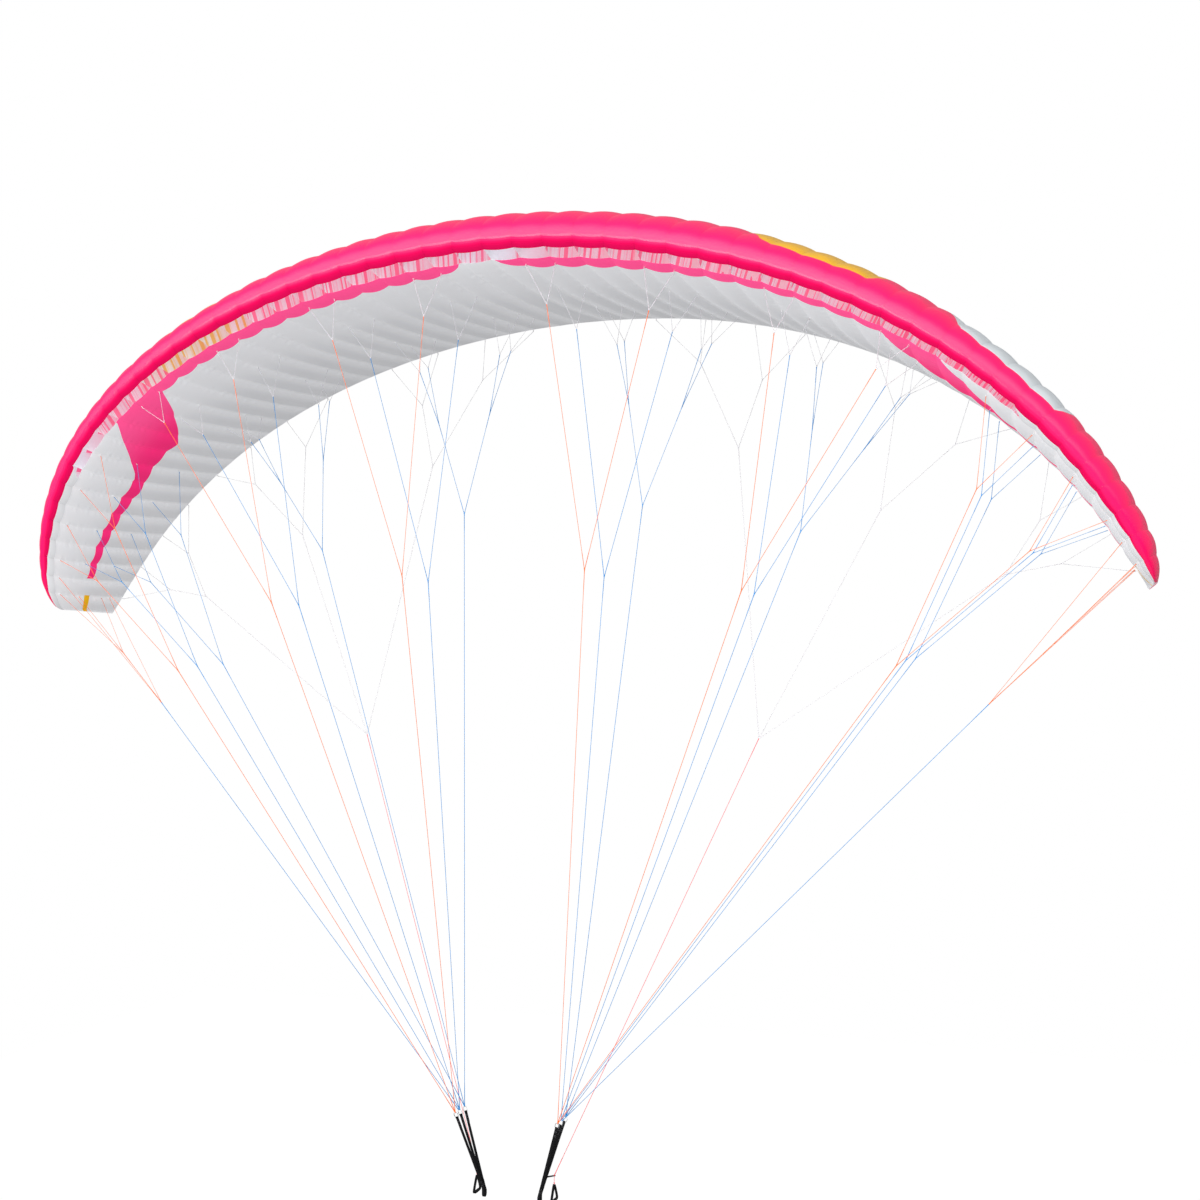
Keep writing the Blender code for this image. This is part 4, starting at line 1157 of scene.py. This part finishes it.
# %% [markdown]
# The links are small steel rings that screw shut, and the brake line runs through a dark ring on the rear
# strap. Both are hard parts whose solids already have the right shape, so they keep their mesh and get a
# finer metal. Only the knurled sleeve of each link is added.

# %% Metal parts
for name, node in frame["nodes"].items():
    if name.startswith("link_"):
        node.data.materials[0] = STEEL
    if name.startswith("brake_guide"):
        node.data.materials[0] = DARK

SLEEVE_HALF, SLEEVE_RADIUS, LINK_SIDE, LINK_MIDDLE = 0.0055, 0.0031, 0.01375, 0.015


def lathe(profile, start, direction, sides, material):
    """Turns a profile of (distance along, radius) round an axis, closed at both ends."""
    direction = direction.normalized()
    first = direction.orthogonal().normalized()
    second = direction.cross(first)
    angles = np.linspace(0, 2 * math.pi, sides, endpoint=False)
    return tube([[start + direction * reach + (first * math.cos(angle) + second * math.sin(angle)) * radius
                  for angle in angles] for reach, radius in profile], material)


def link_sleeve(row):
    _, eye, along, across, _ = riser_axes(row)
    middle = eye + across * LINK_SIDE + along * LINK_MIDDLE
    rise = [(-SLEEVE_HALF, 0.0022), (-SLEEVE_HALF, 0.0027), (-SLEEVE_HALF + 0.0006, SLEEVE_RADIUS)]
    return lathe(rise + [(-reach, radius) for reach, radius in rise[::-1]], middle, along, 6, STEEL)


both_sides(joined("sleeves", [link_sleeve(row) for row in RISERS]), "link_sleeves", "wing", "steel")

# %% [markdown]
# The brake handle is a triangle of webbing with a stiff grip at the bottom, tied to the brake line. It
# moves, so all of it rides on the brake's body. The line above it runs up to the guide, which stays with
# the wing.

# %% Brake handles
HANDLE_TOP, HANDLE_HALF, HANDLE_DEPTH, HANDLE_PLY = 0.115, 0.0525, 0.018, 0.003


def in_handle(points):
    return [Vector((GUIDE.x, GUIDE.y + y, z)) for y, z in points]


def handle_strap():
    half, ply = HANDLE_HALF - HANDLE_PLY / 2, HANDLE_PLY / 2
    right = [(half - 0.010, ply), (half, 0.010), (half, 0.024), (0.0065, HANDLE_TOP - ply - 0.001)]
    path = right + [(-y, z) for y, z in right[::-1]]
    return strap(eased(in_handle(path), closed=True), (1, 0, 0), HANDLE_DEPTH, HANDLE_PLY, closed=True)


def handle_grip():
    reach = HANDLE_HALF - 0.008
    places = np.sin(np.linspace(-math.pi / 2, math.pi / 2, 25))
    profile = [(reach * place, 0.0003 + 0.0085 * (1 - abs(place) ** 5) ** 0.5) for place in places]
    sleeve = plain_cloth("grip_sleeve", "black", 0.8)
    grip = lathe(profile, Vector((GUIDE.x, GUIDE.y, 0.0089)), Vector((0, 1, 0)), 24, sleeve)
    grip.data.shade_smooth()
    return grip


def trefoil(centre, size, radius):
    """The knot that ties the brake line to the handle."""
    points = [centre + size * Vector((math.sin(angle) + 2 * math.sin(2 * angle), -1.1 * math.sin(3 * angle),
                                      math.cos(angle) - 2 * math.cos(2 * angle)))
              for angle in np.linspace(0, 2 * math.pi, 60)]
    return points, [radius] * len(points)


both_sides(handle_strap(), "handle_strap", "brake", "toggle_webbing", "toggle")
both_sides(handle_grip(), "handle_grip", "brake", "toggle_webbing")
knot = cords("knot", [trefoil(Vector((GUIDE.x, GUIDE.y, HANDLE_TOP + 0.005)), 0.0018, 0.0011)], CORD["rose"])
both_sides(knot, "handle_knot", "brake", "orange_line")
print("handle drawn to", HANDLE_TOP, "m above the loops' bearing face")

# %% [markdown]
# The line between the guide and the handle is short when the brakes are off. It is drawn straight down
# from the guide to the top of the handle.

# %% Brake pull lines
PULL_LOW, PULL_HIGH = HANDLE_TOP + 0.006, GUIDE.z - 0.0004


def pull_line(side, name):
    x = GUIDE.x * side
    path = [Vector((x, GUIDE.y, z)) for z in np.linspace(PULL_HIGH, PULL_LOW, 12)]
    made = cords("brake_pull_line_" + name, [(path, [MAIN_RADIUS] * len(path))], CORD["rose"], 8)
    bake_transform(made)
    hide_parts("toggle_line_" + name)


pull_line(1, "left")
pull_line(-1, "right")

# %% [markdown]
# The photograph was taken from a little below the wing and to one side of its nose, so the camera stands
# there. The studio is a white sky whose light comes mostly from the front, one large soft sun low in
# front, and a plain pale floor under the hanging handles.

# %% Studio
FLOOR_Z, FLOOR_HALF = -0.75, 8.0
FRONT_LIGHT, BACK_LIGHT, GROUND_LIGHT, FLOOR_LIGHT = 2.8, 0.30, 0.22, 0.96
CAMERA_PLACE, CAMERA_YAW, CAMERA_RISE, CAMERA_ROLL = Vector((3.816, -9.024, 3.496)), 0.3378, 0.0572, -0.0034
FOCAL_PIXELS, PICTURE, SENSOR = 1415.3, 1200, 36.0
WHITE = (1.0, 1.0, 1.0, 1.0)

camera = bpy.data.cameras.new("camera")
camera.lens, camera.sensor_width = FOCAL_PIXELS / PICTURE * SENSOR, SENSOR
camera.clip_start, camera.clip_end = 0.1, 200.0
camera_object = new_object("camera", camera)
turn = Matrix.Rotation(CAMERA_YAW, 4, "Z") @ Matrix.Rotation(math.pi / 2 + CAMERA_RISE, 4, "X")
camera_object.matrix_world = Matrix.Translation(CAMERA_PLACE) @ turn @ Matrix.Rotation(CAMERA_ROLL, 4, "Z")
scene.camera = camera_object

corners = [(x * FLOOR_HALF, y * FLOOR_HALF, FLOOR_Z) for x, y in ((-1, -1), (1, -1), (1, 1), (-1, 1))]
floor = from_points("floor", corners, faces=[(0, 1, 2, 3)])
floor_finish = Shader("floor_finish", "floor", 0.9)
seen = floor_finish.node("ShaderNodeLightPath").outputs["Is Camera Ray"]
glow = floor_finish.scaled(seen, FLOOR_LIGHT - GROUND_LIGHT, GROUND_LIGHT)
floor_finish.set(Emission_Color=WHITE, Emission_Strength=glow)
floor.data.materials.append(floor_finish.material)

world = bpy.data.worlds.new("sky")
scene.world = world
world.use_nodes = True
sky = Nodes(world.node_tree)
direction = sky.node("ShaderNodeSeparateXYZ", Vector=sky.node("ShaderNodeTexCoord").outputs["Generated"])
front = sky.ramp(sky.times(direction.outputs["Y"], -1.0), 0.0, 1.0, BACK_LIGHT, FRONT_LIGHT)
lighting = sky.times(front, sky.ramp(direction.outputs["Z"], -0.45, -0.05, 0.1, 1.0))
seen = sky.node("ShaderNodeLightPath").outputs["Is Camera Ray"]
background = sky.tree.nodes["Background"]
background.inputs["Color"].default_value = WHITE
sky.put(background.inputs["Strength"], sky.largest(seen, lighting))
sun = bpy.data.lights.new("soft_front_light", "SUN")
sun.energy, sun.angle = 1.5, 0.6
sun_object = new_object("soft_front_light", sun)
sun_object.rotation_euler = Vector((0.20, 0.92, 0.30)).to_track_quat("-Z", "Y").to_euler()
scene.view_settings.view_transform = "Standard"
print("camera", tuple(round(value, 2) for value in CAMERA_PLACE), "lens", round(camera.lens, 1), "mm")

# %% Finish
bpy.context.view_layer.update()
triangles = sum(sum(len(polygon.vertices) - 2 for polygon in obj.data.polygons)
                for obj in scene.objects if obj.type == "MESH" and not obj.hide_render)
print("triangles in all:", triangles)
